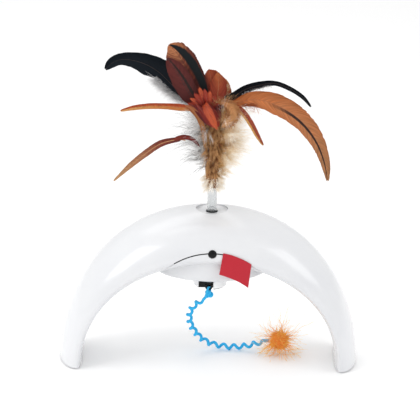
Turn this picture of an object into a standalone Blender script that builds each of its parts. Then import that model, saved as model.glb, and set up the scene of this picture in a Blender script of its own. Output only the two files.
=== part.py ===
# Rotating feather cat toy: an arch that stands on two feet, with a turning wand of
# feathers on its crown and a curly cord with a pompom under it.
# Metres, +Z up. The origin is on the floor, under the rotor's axis.
# +X is to the right and the toy's front faces -Y.

import math

import bmesh
import bpy
import numpy as np
from mathutils import Matrix, Vector

MM = 0.001

# Arch
ARCH_HALF_WIDTH = 170.0 * MM
ARCH_HEIGHT = 184.0 * MM
LEG_THICKNESS = 25.0 * MM
CROWN_THICKNESS = 60.0 * MM
CROWN_HALF_DEPTH = 57.0 * MM
FOOT_HALF_DEPTH = 44.0 * MM
SHELL_WALL = 2.5 * MM
LEG_END_Z = 1.5 * MM
ARCH_ROUNDNESS = 2.08
FOOT_WIDEST_SHARE = 0.22
CROWN_WIDEST_SHARE = 0.30
ARCH_STATIONS = 39
CROWN_STATIONS = 17
SECTION_POINTS = 28
SHELL_EDGE_TURN = math.radians(38.0)
SHELL_COLUMNS = 16
SKIN_SEARCH_STEPS = 40
CROWN_INNER_Z = ARCH_HEIGHT - CROWN_THICKNESS

# Clearances shared by all pieces, and the counts of round forms
FIT_GAP = 0.3 * MM
RUN_GAP = 0.3 * MM
CUT_OVERRUN = 6.0 * MM
MERGE_DISTANCE = 0.01 * MM
ROUND_SIDES = 40
FITTING_SIDES = 24
SHAFT_SIDES = 18
SCREW_SIDES = 12
HALF_SHARE = 0.5

# Leg covers on the inner side of the arch
COVER_END_ANGLE = math.radians(72.0)
COVER_STATIONS = 16
COVER_COLUMNS = 11
COVER_GAP_SHARE = 4.0

# Gear train: drive gear on the shaft, compound idler, motor pinion
GEAR_MODULE = 0.8 * MM
DRIVE_TEETH = 52
IDLER_SMALL_TEETH = 14
IDLER_LARGE_TEETH = 44
PINION_TEETH = 12
GEAR_THICKNESS = 5.5 * MM
IDLER_LARGE_THICKNESS = 3.6 * MM
PINION_THICKNESS = 4.6 * MM
GEAR_HUB_WALL = 2.4 * MM
PIN_RADIUS = 2.0 * MM
PIN_HEAD = 1.2 * MM
ROOT_DEPTH_SHARE = 1.30
TIP_HEIGHT_SHARE = 0.85
ROOT_WIDTH_SHARE = 0.60
TIP_WIDTH_SHARE = 0.24
IDLER_DISTANCE = GEAR_MODULE * (DRIVE_TEETH + IDLER_SMALL_TEETH) / 2
MOTOR_DISTANCE = GEAR_MODULE * (IDLER_LARGE_TEETH + PINION_TEETH) / 2
IDLER_X = -IDLER_DISTANCE
MOTOR_X = IDLER_X - MOTOR_DISTANCE

# Motor, which stands on the gear plate
MOTOR_RADIUS = 10.0 * MM
MOTOR_LENGTH = 25.0 * MM
MOTOR_SHAFT_RADIUS = 1.0 * MM
MOTOR_SHAFT_HOLD = 8.0 * MM
MOTOR_CAP_HEIGHT = 3.0 * MM
MOTOR_CAP_INSET = 0.8 * MM

# Drive housing: the tub under the crown and its cheeks up to the seam. The tub is as
# wide as the gear plate asks, and the plate as wide as the gear train and the motor.
PLATE_RIM = 0.7 * MM
PLATE_ROOM = 6.5 * MM
TUB_SIDE_STEP = 7.0 * MM
GEAR_PLATE_HALF_X = MOTOR_RADIUS + PLATE_RIM - MOTOR_X
TUB_HALF_X = GEAR_PLATE_HALF_X + PLATE_ROOM
TUB_HALF_Y = CROWN_HALF_DEPTH - TUB_SIDE_STEP
GEAR_PLATE_HALF_Y = TUB_HALF_Y - PLATE_ROOM
GEAR_PLATE_THICKNESS = 2.5 * MM
SEAM_RADIUS = 78.3 * MM
SEAM_DROP = 36.5 * MM
SEAM_GAP = 0.4 * MM
SEAM_SIDES = 64
SEAM_TOP = ARCH_HEIGHT - SEAM_DROP
SEAM_CENTRE_Z = SEAM_TOP - SEAM_RADIUS
TUB_EDGE_DROP = 12.0 * MM
TUB_BOWL_DEPTH = 12.0 * MM
TUB_SIDE_HEIGHT = 26.0 * MM
TUB_EDGE_Z = CROWN_INNER_Z - TUB_EDGE_DROP
TUB_FLOOR_Z = TUB_EDGE_Z - TUB_BOWL_DEPTH
TUB_TOP_Z = TUB_EDGE_Z + TUB_SIDE_HEIGHT
TUB_EDGE_ROUND = 3.0 * MM
TUB_FLOOR_RADIUS = 20.0 * MM
TUB_FLOOR_WALL = 3.0 * MM
EDGE_DROP_SHARE = 0.3
CROWN_CUT_ANGLE = math.radians(52.0)
CROWN_HOLLOW_ANGLE = math.radians(50.0)

# Heights inside the housing, from its floor up
PIN_LIFT = 5.6 * MM
DRIVE_GEAR_LIFT = 8.2 * MM
GEAR_ROOM = 21.0 * MM
PIN_BOTTOM_Z = TUB_FLOOR_Z + PIN_LIFT
DRIVE_GEAR_Z = TUB_FLOOR_Z + DRIVE_GEAR_LIFT
GEAR_PLATE_Z = TUB_FLOOR_Z + GEAR_ROOM
IDLER_LARGE_Z = DRIVE_GEAR_Z + GEAR_THICKNESS + FIT_GAP

# Posts and screws that carry the gear plate
POST_X_SHARE = 80 / 119
POST_Y_SHARE = 18 / 29
POST_X = GEAR_PLATE_HALF_X * POST_X_SHARE
POST_Y = GEAR_PLATE_HALF_Y * POST_Y_SHARE
POST_RADIUS = 4.0 * MM
SCREW_RADIUS = 1.4 * MM
SCREW_LENGTH = 9.0 * MM
SCREW_HEAD_RADIUS = 2.9 * MM
SCREW_HEAD_HEIGHT = 2.0 * MM
SCREW_CLEARANCE = 0.35 * MM

# Seam strip and motion sensor on the front
STRIP_WIDTH = 1.2 * MM
STRIP_DEPTH = 3.0 * MM
STRIP_HALF_ANGLE = math.radians(33.0)
STRIP_STEPS = 20
BAND_STEPS = 24
SENSOR_RADIUS = 4.6 * MM
SENSOR_PROUD = 2.0 * MM
SENSOR_SIDES = 18
SENSOR_TILTS = (75, 55, 30, 0)
SENSOR_STEM_SHARE = 0.35

# Control board, on edge behind the sensor
BOARD_WIDTH = 38.0 * MM
BOARD_HEIGHT = 30.0 * MM
BOARD_THICKNESS = 1.6 * MM
BOARD_INSET = 5.5 * MM
BOARD_LIFT = 5.5 * MM
BOARD_CENTRE_X = 4.0 * MM
BOARD_FRONT_Y = BOARD_INSET - GEAR_PLATE_HALF_Y
BOARD_BOTTOM_Z = GEAR_PLATE_Z + GEAR_PLATE_THICKNESS + BOARD_LIFT
CHIP_HALF = 5.0 * MM
CHIP_RISE = 2.4 * MM
RIB_WIDTH = 4.0 * MM
RIB_DEPTH = 3.5 * MM

# Power switch in the tub's rear wall
SWITCH_LIFT = 6.0 * MM
SWITCH_Z = TUB_EDGE_Z + SWITCH_LIFT
SWITCH_WIDTH = 15.0 * MM
SWITCH_HEIGHT = 5.4 * MM
SWITCH_DEPTH = 6.0 * MM
KNOB_WIDTH = 4.0 * MM
KNOB_HEIGHT = 3.0 * MM
KNOB_PROUD = 1.5 * MM
KNOB_TRAVEL = 4.0 * MM
KNOB_CLEARANCE = 0.4 * MM

# Crown fittings: dished bezel, socket and bushes, from the crown's top down
BEZEL_HOLE_RADIUS = 18.4 * MM
BEZEL_FLANGE_RADIUS = 20.6 * MM
BEZEL_FLANGE_THICKNESS = 2.0 * MM
BEZEL_BOSS_RADIUS = 13.2 * MM
BEZEL_RIM_DROP = 3.4 * MM
BEZEL_DISH_DEPTH = 3.4 * MM
BEZEL_RIM_HEIGHT = 2.7 * MM
BEZEL_LEDGE_DEPTH = 4.8 * MM
BEZEL_BOSS_SPARE = 0.5 * MM
UPPER_BUSH_HEIGHT = 8.4 * MM
BUSH_WALL = 2.5 * MM
LOWER_BUSH_FLANGE = 2.4 * MM
LOWER_BUSH_HEIGHT = 4.7 * MM
BEZEL_RIM_Z = ARCH_HEIGHT - BEZEL_RIM_DROP
BEZEL_DISH_Z = BEZEL_RIM_Z - BEZEL_DISH_DEPTH
BEZEL_FLANGE_Z = BEZEL_RIM_Z - BEZEL_RIM_HEIGHT
UPPER_BUSH_TOP_Z = BEZEL_DISH_Z - BEZEL_LEDGE_DEPTH
UPPER_BUSH_BOTTOM_Z = UPPER_BUSH_TOP_Z - UPPER_BUSH_HEIGHT
BEZEL_BOSS_BOTTOM_Z = UPPER_BUSH_BOTTOM_Z - BEZEL_BOSS_SPARE

# Rotor: shaft, wand socket on its top, hub on its foot
SHAFT_RADIUS = 4.0 * MM
SHAFT_END_INSET = 0.5 * MM
SOCKET_RADIUS = 7.5 * MM
SOCKET_TOP_DROP = 3.5 * MM
SOCKET_CUP_DEPTH = 12.5 * MM
SOCKET_WEB = 3.0 * MM
SOCKET_GRIP = 7.0 * MM
SOCKET_TOP_Z = ARCH_HEIGHT - SOCKET_TOP_DROP
SOCKET_SEAT_Z = SOCKET_TOP_Z - SOCKET_CUP_DEPTH
SHAFT_TOP_Z = SOCKET_SEAT_Z - SOCKET_WEB
SOCKET_BOTTOM_Z = SHAFT_TOP_Z - SOCKET_GRIP
HUB_RADIUS = 19.0 * MM
HUB_HEIGHT = 8.3 * MM
HUB_EDGE = 0.8 * MM
HUB_TOP_Z = TUB_FLOOR_Z - 2 * FIT_GAP
HUB_BOTTOM_Z = HUB_TOP_Z - HUB_HEIGHT
SHAFT_BOTTOM_Z = HUB_BOTTOM_Z + SHAFT_END_INSET
HUB_PLATE_THICKNESS = 0.9 * MM
HUB_PLATE_INSET = 2.0 * MM
HUB_POCKET_WIDTH = 17.0 * MM
HUB_POCKET_DEPTH = 9.0 * MM
HUB_POCKET_X = -5.0 * MM
HOOK_WALL = 1.6 * MM
HOOK_RING_RADIUS = 3.4 * MM
HOOK_WIRE_RADIUS = 1.0 * MM
HOOK_STEPS = 20
HOOK_SIDES = 8

# Batteries in the left shoulder
BATTERY_ANGLE = math.radians(42.0)
CELL_COUNT = 2
CELL_RADIUS = 7.1 * MM
CELL_LENGTH = 49.0 * MM
CELL_PITCH = 14.7 * MM
CELL_NUB_RADIUS = 2.7 * MM
CELL_NUB_HEIGHT = 1.2 * MM
BOX_WALL = 1.5 * MM
BOX_LENGTH_SPARE = 5.0 * MM
BOX_DEPTH = 17.0 * MM
BOX_LIFT = 5.1 * MM
SPRING_COIL_RADIUS = 3.4 * MM
SPRING_WIRE_RADIUS = 0.45 * MM
SPRING_TURNS = 2
SPRING_POINTS = 8
CONTACT_THICKNESS = 0.5 * MM
CONTACT_SHARE = 1.6
DOOR_HALF_DEPTH = 26.0 * MM
DOOR_HALF_LENGTH = 17.0 * MM
DOOR_GAP = 0.5 * MM
DOOR_STATIONS = 6
DOOR_COLUMNS = 8
SMALL_TURN = math.radians(1.0)

# Foot pads
PAD_HEIGHT = 6.0 * MM
PAD_GAP = 0.7 * MM

# Blank ribbon tag on the seam
TAG_WIDTH = 34.0 * MM
TAG_DROP = 27.0 * MM
TAG_THICKNESS = 1.2 * MM
TAG_START_X = 13.5 * MM
TAG_SLOPE = math.radians(-23.0)
TAG_LEAN = 1.6 * MM
TAG_ROWS = 6

# Wand: tube, binding, fur wrap and feathers
TUBE_RADIUS = 5.5 * MM
TUBE_WALL = 1.2 * MM
TUBE_RISE = 132.0 * MM
TUBE_TOP_Z = SOCKET_SEAT_Z + TUBE_RISE
TUBE_SIDES = 24
QUILL_CIRCLE = 7.3 * MM
BINDING_RADIUS = 8.3 * MM
BINDING_WALL = 1.2 * MM
BINDING_HEIGHT = 9.0 * MM
BINDING_DROP = 44.0 * MM
BINDING_BOTTOM_Z = TUBE_TOP_Z - BINDING_DROP
FUR_HEIGHT = 92.0 * MM
FUR_TOP_Z = TUBE_TOP_Z
FUR_BOTTOM_Z = FUR_TOP_Z - FUR_HEIGHT
FUR_WIDEST = 34.0 * MM
FUR_NECK_GAP = 0.4 * MM
FUR_RIM = 2.0 * MM
FUR_MOUTH_RADIUS = 17.0 * MM
FUR_MOUTH_DEPTH = 15.0 * MM
FUR_SIDES = 20
QUILL_FOOT_LIFT = 2.0 * MM
FEATHER_BASE_Z = BINDING_BOTTOM_Z + QUILL_FOOT_LIFT
PLUME_REACH = 128.0 * MM
FEATHER_THICKNESS = 1.1 * MM
QUILL_WIDTH = 2.2 * MM
FEATHER_STATIONS = 16
PARALLEL_SHARE = 0.05
TWIST_SHARE = 0.45
THINNING_SHARE = 0.45
EDGE_SHARE = 0.35
FUR_PROFILE_SHARES = [(0.0, 0.24), (0.10, 0.34), (0.25, 0.52), (0.45, 0.80), (0.65, 1.00), (0.80, 0.97), (0.93, 0.70)]

# Curly cord, knot and pompom
CORD_RADIUS = 1.7 * MM
CURL_RADIUS = 2.4 * MM
CURL_COUNT = 14
CURL_POINTS = 9
CURL_OPEN_TURNS = 0.6
CORD_BEVEL_RESOLUTION = 1
CORD_LEAD = 3.2 * MM
ROUTE_STEPS = 24
KNOT_RADIUS = 4.6 * MM
KNOT_X = -1.7 * MM
KNOT_INSET = 1.8 * MM
KNOT_DROP = 6.8 * MM
POMPOM_CENTRE = Vector((82.5 * MM, 15.0 * MM, 16.5 * MM))
POMPOM_CORE = 11.0 * MM
POMPOM_REACH = 21.0 * MM
POMPOM_FLOOR_GAP = 0.4 * MM
CORD_SIDE_SHARE = 0.75

# The curly cord's route, from the knot under the hub down to the floor and out to the
# pompom. The points are chosen by hand.
CORD_ROUTE = [
    (-4.8 * MM, -16.5 * MM, 80.6 * MM),
    (-8.6 * MM, -15.6 * MM, 76.0 * MM),
    (-16.0 * MM, -12.5 * MM, 70.0 * MM),
    (-21.2 * MM, -8.0 * MM, 61.5 * MM),
    (-22.6 * MM, -2.0 * MM, 51.0 * MM),
    (-20.2 * MM, 5.5 * MM, 37.0 * MM),
    (-12.5 * MM, 13.0 * MM, 22.8 * MM),
    (-3.5 * MM, 18.5 * MM, 13.2 * MM),
    (7.5 * MM, 22.0 * MM, 7.4 * MM),
    (22.0 * MM, 23.5 * MM, 4.7 * MM),
    (37.0 * MM, 22.5 * MM, 5.2 * MM),
    (51.0 * MM, 19.5 * MM, 9.0 * MM),
    (64.0 * MM, 16.4 * MM, 14.2 * MM),
    (70.8 * MM, 15.5 * MM, 15.6 * MM),
]

# Each feather: name, place of its quill round the tube in degrees (0 is +X, 90 the back),
# and the points of its spine after the quill, measured from the quill's foot on the tube's
# axis, each with the vane's half width there. All four are shares of PLUME_REACH.
FEATHER_SPINE_SHARES = {
    "feather_black_left": (115.0, [
        (-0.131, 0.070, 0.363, 0.018), (-0.231, 0.094, 0.411, 0.063), (-0.350, 0.109, 0.499, 0.099),
        (-0.498, 0.117, 0.651, 0.112), (-0.617, 0.109, 0.734, 0.090), (-0.730, 0.094, 0.782, 0.065),
        (-0.836, 0.078, 0.799, 0.049), (-0.916, 0.062, 0.765, 0.041),
        (-0.978, 0.047, 0.698, 0.018)]),
    "feather_striped_top": (150.0, [
        (-0.096, 0.039, 0.385, 0.027), (-0.144, 0.043, 0.488, 0.072), (-0.210, 0.055, 0.617, 0.094),
        (-0.295, 0.062, 0.766, 0.099), (-0.370, 0.070, 0.877, 0.076),
        (-0.430, 0.070, 0.943, 0.027)]),
    "feather_maroon_top": (186.0, [
        (-0.120, -0.019, 0.391, 0.027), (-0.217, -0.031, 0.476, 0.067),
        (-0.293, -0.039, 0.611, 0.076), (-0.369, -0.043, 0.736, 0.058),
        (-0.434, -0.047, 0.832, 0.018)]),
    "feather_rust_top": (76.0, [
        (-0.034, 0.094, 0.452, 0.076), (-0.018, 0.109, 0.543, 0.094), (-0.028, 0.113, 0.618, 0.076),
        (-0.061, 0.117, 0.668, 0.036)]),
    "feather_tan_right": (34.0, [
        (0.038, 0.062, 0.436, 0.054), (0.068, 0.070, 0.501, 0.058), (0.066, 0.074, 0.566, 0.027)]),
    "feather_red_front": (238.0, [
        (-0.077, -0.062, 0.422, 0.063), (-0.106, -0.070, 0.473, 0.085),
        (-0.130, -0.080, 0.523, 0.049), (-0.145, -0.086, 0.564, 0.014)]),
    "feather_red_drop": (262.0, [
        (-0.084, -0.125, 0.435, 0.027), (-0.090, -0.188, 0.439, 0.063),
        (-0.059, -0.242, 0.392, 0.085), (-0.022, -0.273, 0.328, 0.067),
        (0.016, -0.297, 0.255, 0.020)]),
    "feather_brown_right": (289.0, [
        (0.051, -0.141, 0.448, 0.036), (0.131, -0.188, 0.428, 0.063), (0.155, -0.211, 0.365, 0.072),
        (0.115, -0.227, 0.303, 0.058), (0.057, -0.242, 0.260, 0.022)]),
    "feather_black_right": (4.0, [
        (0.083, 0.035, 0.409, 0.031), (0.163, 0.047, 0.449, 0.040), (0.270, 0.062, 0.512, 0.043),
        (0.387, 0.078, 0.547, 0.039), (0.531, 0.094, 0.562, 0.025), (0.677, 0.109, 0.502, 0.023),
        (0.788, 0.125, 0.421, 0.020), (0.862, 0.133, 0.329, 0.009)]),
    "feather_hackle_right": (338.0, [
        (0.091, -0.047, 0.391, 0.027), (0.188, -0.066, 0.419, 0.038), (0.304, -0.086, 0.466, 0.067),
        (0.429, -0.102, 0.464, 0.085), (0.547, -0.117, 0.429, 0.099), (0.665, -0.133, 0.370, 0.096),
        (0.766, -0.148, 0.295, 0.088), (0.854, -0.164, 0.197, 0.078), (0.924, -0.180, 0.084, 0.063),
        (0.972, -0.195, -0.038, 0.047), (0.997, -0.203, -0.141, 0.033),
        (1.011, -0.211, -0.248, 0.011)]),
    "feather_small_right": (313.0, [
        (0.124, -0.109, 0.419, 0.018), (0.205, -0.141, 0.403, 0.022), (0.264, -0.164, 0.350, 0.024),
        (0.320, -0.180, 0.271, 0.023), (0.381, -0.195, 0.162, 0.018),
        (0.432, -0.203, 0.080, 0.008)]),
    "feather_orange_left": (212.0, [
        (-0.117, -0.078, 0.365, 0.013), (-0.226, -0.102, 0.391, 0.022),
        (-0.318, -0.133, 0.420, 0.030), (-0.445, -0.156, 0.441, 0.025),
        (-0.590, -0.180, 0.447, 0.024), (-0.725, -0.203, 0.434, 0.020),
        (-0.843, -0.219, 0.397, 0.008)]),
}

# The long thin feather lies outside the fur wrap, so its quill starts at the wrap's side.
LOW_FEATHER_NAME = "feather_thin_left"
LOW_FEATHER_SPINE_SHARES = [
    (-0.2547, -0.0855, 0.078, 0.009), (-0.330, -0.095, 0.085, 0.020), (-0.470, -0.105, 0.050, 0.028),
    (-0.600, -0.110, -0.040, 0.028), (-0.740, -0.115, -0.160, 0.022), (-0.885, -0.120, -0.305, 0.006)]


# Basic helpers

def clear_objects():
    for obj in list(bpy.data.objects):
        bpy.data.objects.remove(obj, do_unlink=True)


def material(name, colour, roughness, metallic=0.0, alpha=1.0):
    found = bpy.data.materials.get(name)
    if found:
        return found
    mat = bpy.data.materials.new(name)
    mat.use_nodes = True
    shader = mat.node_tree.nodes["Principled BSDF"]
    shader.inputs["Base Color"].default_value = (*colour, 1.0)
    shader.inputs["Roughness"].default_value = roughness
    shader.inputs["Metallic"].default_value = metallic
    shader.inputs["Alpha"].default_value = alpha
    return mat


def link_object(name, mesh, mat, smooth_angle=math.radians(35.0)):
    obj = bpy.data.objects.new(name, mesh)
    bpy.context.collection.objects.link(obj)
    mesh.materials.clear()
    mesh.materials.append(mat)
    mesh.shade_smooth()
    mesh.set_sharp_from_angle(angle=smooth_angle)
    return obj


def mesh_of(name, points, faces):
    mesh = bpy.data.meshes.new(name)
    mesh.from_pydata([tuple(p) for p in points], [], faces)
    work = bmesh.new()
    work.from_mesh(mesh)
    bmesh.ops.recalc_face_normals(work, faces=work.faces)
    work.to_mesh(mesh)
    work.free()
    return mesh


def loft(name, rings, closed_ends=True):
    """A tube of rings with equal point counts, closed by a flat cap at each end."""
    count = len(rings[0])
    points = [p for ring in rings for p in ring]
    faces = []
    for r in range(len(rings) - 1):
        for k in range(count):
            n = (k + 1) % count
            a, b = r * count, (r + 1) * count
            faces.append((a + k, a + n, b + n, b + k))
    if closed_ends:
        faces.append(tuple(reversed(range(count))))
        last = (len(rings) - 1) * count
        faces.append(tuple(range(last, last + count)))
    return mesh_of(name, points, faces)


def loft_loop(name, rings):
    """A tube of rings that closes on its own first ring."""
    count = len(rings[0])
    points = [p for ring in rings for p in ring]
    faces = []
    for r in range(len(rings)):
        s = (r + 1) % len(rings)
        for k in range(count):
            n = (k + 1) % count
            faces.append((r * count + k, r * count + n, s * count + n, s * count + k))
    return mesh_of(name, points, faces)


def circle_points(radius_x, radius_y, z, sides, centre=(0, 0)):
    step = 2 * math.pi / sides
    return [(centre[0] + radius_x * math.cos(k * step), centre[1] + radius_y * math.sin(k * step), z)
            for k in range(sides)]


def turned(name, profile, sides=ROUND_SIDES, centre=(0, 0), bored=False):
    """A profile of (radius, z) pairs turned round a vertical axis.

    A bored profile is a closed outline that stays off the axis; any other runs from
    its lower end to its upper end and is capped flat there.
    """
    rings = [circle_points(r, r, z, sides, centre) for r, z in profile]
    return loft_loop(name, rings) if bored else loft(name, rings)


def box_mesh(name, low, high):
    rings = []
    for z in (low[2], high[2]):
        rings.append([(low[0], low[1], z), (high[0], low[1], z), (high[0], high[1], z), (low[0], high[1], z)])
    return loft(name, rings)


def prism_y(name, outline, y_low, y_high):
    """An outline of (x, z) pairs, extruded along Y."""
    return loft(name, [[(x, y_low, z) for x, z in outline], [(x, y_high, z) for x, z in outline]])


def rod_along(name, start, end, radius, sides):
    """A straight round rod between two points."""
    a, b = Vector(start), Vector(end)
    axis = (b - a).normalized()
    side = axis.orthogonal().normalized()
    other = axis.cross(side)
    rings = []
    for end_point in (a, b):
        rings.append([end_point + radius * (math.cos(2 * math.pi * k / sides) * side
                                            + math.sin(2 * math.pi * k / sides) * other)
                      for k in range(sides)])
    return loft(name, rings)


def helper(mesh):
    """A cutter or a guide, which the finished model leaves out."""
    obj = bpy.data.objects.new("cutter", mesh)
    bpy.context.collection.objects.link(obj)
    obj.hide_render = True
    obj.display_type = "WIRE"
    return obj


def combine(mesh, steps):
    """Apply Boolean steps, each (operation, other mesh), and give the new mesh."""
    target = helper(mesh)
    others = []
    for operation, other in steps:
        tool = helper(other)
        others.append(tool)
        mod = target.modifiers.new(operation, "BOOLEAN")
        mod.operation = operation
        mod.object = tool
    graph = bpy.context.evaluated_depsgraph_get()
    result = bpy.data.meshes.new_from_object(target.evaluated_get(graph))
    for obj in [target] + others:
        bpy.data.objects.remove(obj, do_unlink=True)
    work = bmesh.new()
    work.from_mesh(result)
    bmesh.ops.remove_doubles(work, verts=work.verts, dist=MERGE_DISTANCE)
    bmesh.ops.dissolve_degenerate(work, edges=work.edges, dist=MERGE_DISTANCE)
    work.to_mesh(result)
    work.free()
    return result


# Arch form

def arch_curves(angle):
    """Outer and inner points (x, z) of the arch at an angle from the left foot."""
    power = 2 / ARCH_ROUNDNESS
    c = math.copysign(abs(math.cos(angle)) ** power, math.cos(angle))
    s = max(math.sin(angle), 0) ** power
    outer = (-ARCH_HALF_WIDTH * c, ARCH_HEIGHT * s)
    inner = (-(ARCH_HALF_WIDTH - LEG_THICKNESS) * c, (ARCH_HEIGHT - CROWN_THICKNESS) * s)
    return outer, inner


def arch_half_depth(angle):
    return FOOT_HALF_DEPTH + (CROWN_HALF_DEPTH - FOOT_HALF_DEPTH) * math.sin(angle)


def widest_share(angle):
    return FOOT_WIDEST_SHARE + (CROWN_WIDEST_SHARE - FOOT_WIDEST_SHARE) * math.sin(angle)


def arch_point(angle, turn, inset=0):
    """A point on the arch's skin. turn goes round the section: 0 is the front, a quarter
    turn the outer side, three quarters the inner side. inset moves the skin inwards."""
    (ox, oz), (ix, iz) = arch_curves(angle)
    thickness = math.hypot(ox - ix, oz - iz)
    lean = inset / thickness
    middle = widest_share(angle)
    up = math.sin(turn)
    reach = (1 - middle - lean) if up >= 0 else (middle - lean)
    q = middle + reach * up
    y = -(arch_half_depth(angle) - inset) * math.cos(turn)
    return (ix + (ox - ix) * q, y, iz + (oz - iz) * q)


def arch_angles(start, end, count=ARCH_STATIONS):
    return [start + (end - start) * k / (count - 1) for k in range(count)]


def end_angle(height):
    """The angle at which the arch's outer curve is at a height above the floor."""
    return math.asin((height / ARCH_HEIGHT) ** (ARCH_ROUNDNESS / 2))


def arch_solid(name, inset, start, end):
    rings = []
    for angle in arch_angles(start, end, CROWN_STATIONS):
        rings.append([arch_point(angle, 2 * math.pi * k / SECTION_POINTS, inset)
                      for k in range(SECTION_POINTS)])
    return loft(name, rings)


def arch_skin(name, start, end, turn_from, turn_to, stations, columns, wall=SHELL_WALL, lift=0):
    """A panel of the arch's skin with the given wall, between two angles and two turns."""
    rings = []
    for angle in arch_angles(start, end, stations):
        turns = [turn_from + (turn_to - turn_from) * k / (columns - 1) for k in range(columns)]
        ring = [arch_point(angle, turn, lift) for turn in turns]
        ring += [arch_point(angle, turn, lift + wall) for turn in reversed(turns)]
        rings.append(ring)
    return loft(name, rings)


def skin_y(x, z):
    """How far forward the arch's front skin stands at a place (x, z)."""
    low, high = 0, 1
    power = ARCH_ROUNDNESS
    for _ in range(SKIN_SEARCH_STEPS):
        q = (low + high) / 2
        half = ARCH_HALF_WIDTH - LEG_THICKNESS * (1 - q)
        rise = ARCH_HEIGHT - CROWN_THICKNESS * (1 - q)
        inside = (abs(x) / half) ** power + (z / rise) ** power > 1
        low, high = (q, high) if inside else (low, q)
    angle = math.atan2((z / rise) ** (power / 2), -math.copysign((abs(x) / half) ** (power / 2), x))
    middle = widest_share(angle)
    up = (q - middle) / (1 - middle) if q > middle else (q - middle) / middle
    return -arch_half_depth(angle) * math.sqrt(max(0, 1 - up * up))


# Housing form


def seam_cylinder(radius):
    step = 2 * math.pi / SEAM_SIDES
    reach = CROWN_HALF_DEPTH + CUT_OVERRUN
    angles = [(k + HALF_SHARE) * step for k in range(SEAM_SIDES)]
    outline = [(radius * math.cos(a), SEAM_CENTRE_Z + radius * math.sin(a)) for a in angles]
    return prism_y("seam_cylinder", outline, -reach, reach)


def tub_solid(inset, top):
    """The tub: an oval bowl with steep sides and a shallow cone down to a round floor."""
    floor = TUB_FLOOR_Z + (TUB_FLOOR_WALL if inset > 0 else inset)
    edge = TUB_EDGE_Z + inset
    half_x, half_y = TUB_HALF_X - inset, TUB_HALF_Y - inset
    rings = [circle_points(TUB_FLOOR_RADIUS, TUB_FLOOR_RADIUS, floor, ROUND_SIDES)]
    rings.append(circle_points(half_x - TUB_EDGE_ROUND, half_y - TUB_EDGE_ROUND,
                               edge - TUB_EDGE_ROUND * EDGE_DROP_SHARE, ROUND_SIDES))
    rings.append(circle_points(half_x - TUB_EDGE_ROUND * EDGE_DROP_SHARE,
                               half_y - TUB_EDGE_ROUND * EDGE_DROP_SHARE, edge + TUB_EDGE_ROUND * EDGE_DROP_SHARE,
                               ROUND_SIDES))
    rings.append(circle_points(half_x, half_y, edge + TUB_EDGE_ROUND, ROUND_SIDES))
    rings.append(circle_points(half_x, half_y, top, ROUND_SIDES))
    return loft("tub", rings)


def post_places():
    return [(sx * POST_X, sy * POST_Y) for sx in (-1, 1) for sy in (-1, 1)]


def make_drive_housing(white):
    crown = arch_solid("crown", 0, CROWN_CUT_ANGLE, math.pi - CROWN_CUT_ANGLE)
    outer = combine(crown, [("INTERSECT", seam_cylinder(SEAM_RADIUS)), ("UNION", tub_solid(0, TUB_TOP_Z))])
    hollow = arch_solid("hollow", SHELL_WALL, CROWN_HOLLOW_ANGLE, math.pi - CROWN_HOLLOW_ANGLE)
    steps = [("UNION", tub_solid(SHELL_WALL, TUB_TOP_Z + CUT_OVERRUN))]
    for x, y in post_places():
        steps.append(("DIFFERENCE", turned("post", [(POST_RADIUS, 0), (POST_RADIUS, GEAR_PLATE_Z - FIT_GAP)],
                                           SHAFT_SIDES, (x, y))))
    hollow = combine(hollow, steps)
    cuts = [("DIFFERENCE", hollow)]
    bush_hole = SHAFT_RADIUS + RUN_GAP + BUSH_WALL + FIT_GAP
    cuts.append(("DIFFERENCE", turned("bush_hole", [(bush_hole, 0), (bush_hole, TUB_EDGE_Z)], ROUND_SIDES)))
    for x, y in post_places():
        hole = SCREW_RADIUS + SCREW_CLEARANCE
        bottom = GEAR_PLATE_Z + GEAR_PLATE_THICKNESS - SCREW_LENGTH - FIT_GAP
        cuts.append(("DIFFERENCE", turned("pilot", [(hole, bottom), (hole, GEAR_PLATE_Z + CUT_OVERRUN)],
                                          SCREW_SIDES, (x, y))))
    cuts.append(("DIFFERENCE", sensor_hole()))
    slot_low = -KNOB_WIDTH / 2 - KNOB_CLEARANCE
    slot_high = KNOB_WIDTH / 2 + KNOB_TRAVEL + KNOB_CLEARANCE
    half_height = KNOB_HEIGHT / 2 + KNOB_CLEARANCE
    cuts.append(("DIFFERENCE", box_mesh("slot", (slot_low, 0, SWITCH_Z - half_height),
                                        (slot_high, TUB_HALF_Y + CUT_OVERRUN, SWITCH_Z + half_height))))
    return link_object("drive_housing", combine(outer, cuts), white)


def sensor_hole():
    y = skin_y(0, SEAM_TOP)
    radius = SENSOR_RADIUS + FIT_GAP
    return rod_along("sensor_hole", (0, y - CUT_OVERRUN, SEAM_TOP), (0, y + CUT_OVERRUN, SEAM_TOP),
                     radius, SENSOR_SIDES)


def make_arch_shell(white):
    start = end_angle(LEG_END_Z)
    shell = arch_skin("arch_shell", start, math.pi - start, -SHELL_EDGE_TURN, math.pi + SHELL_EDGE_TURN,
                      ARCH_STATIONS, SHELL_COLUMNS)
    groove = arc_band(SEAM_RADIUS - CUT_OVERRUN, SEAM_RADIUS + STRIP_WIDTH + 2 * FIT_GAP,
                      STRIP_HALF_ANGLE + FIT_GAP / SEAM_RADIUS)
    cuts = [("DIFFERENCE", sensor_hole()),
            ("DIFFERENCE", seam_cylinder(SEAM_RADIUS + SEAM_GAP)),
            ("DIFFERENCE", groove),
            ("DIFFERENCE", tub_solid(-SEAM_GAP, TUB_TOP_Z)),
            ("DIFFERENCE", turned("dish_hole", [(BEZEL_HOLE_RADIUS, BEZEL_BOSS_BOTTOM_Z),
                                                (BEZEL_HOLE_RADIUS, ARCH_HEIGHT + CUT_OVERRUN)]))]
    return link_object("arch_shell", combine(shell, cuts), white)


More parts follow.
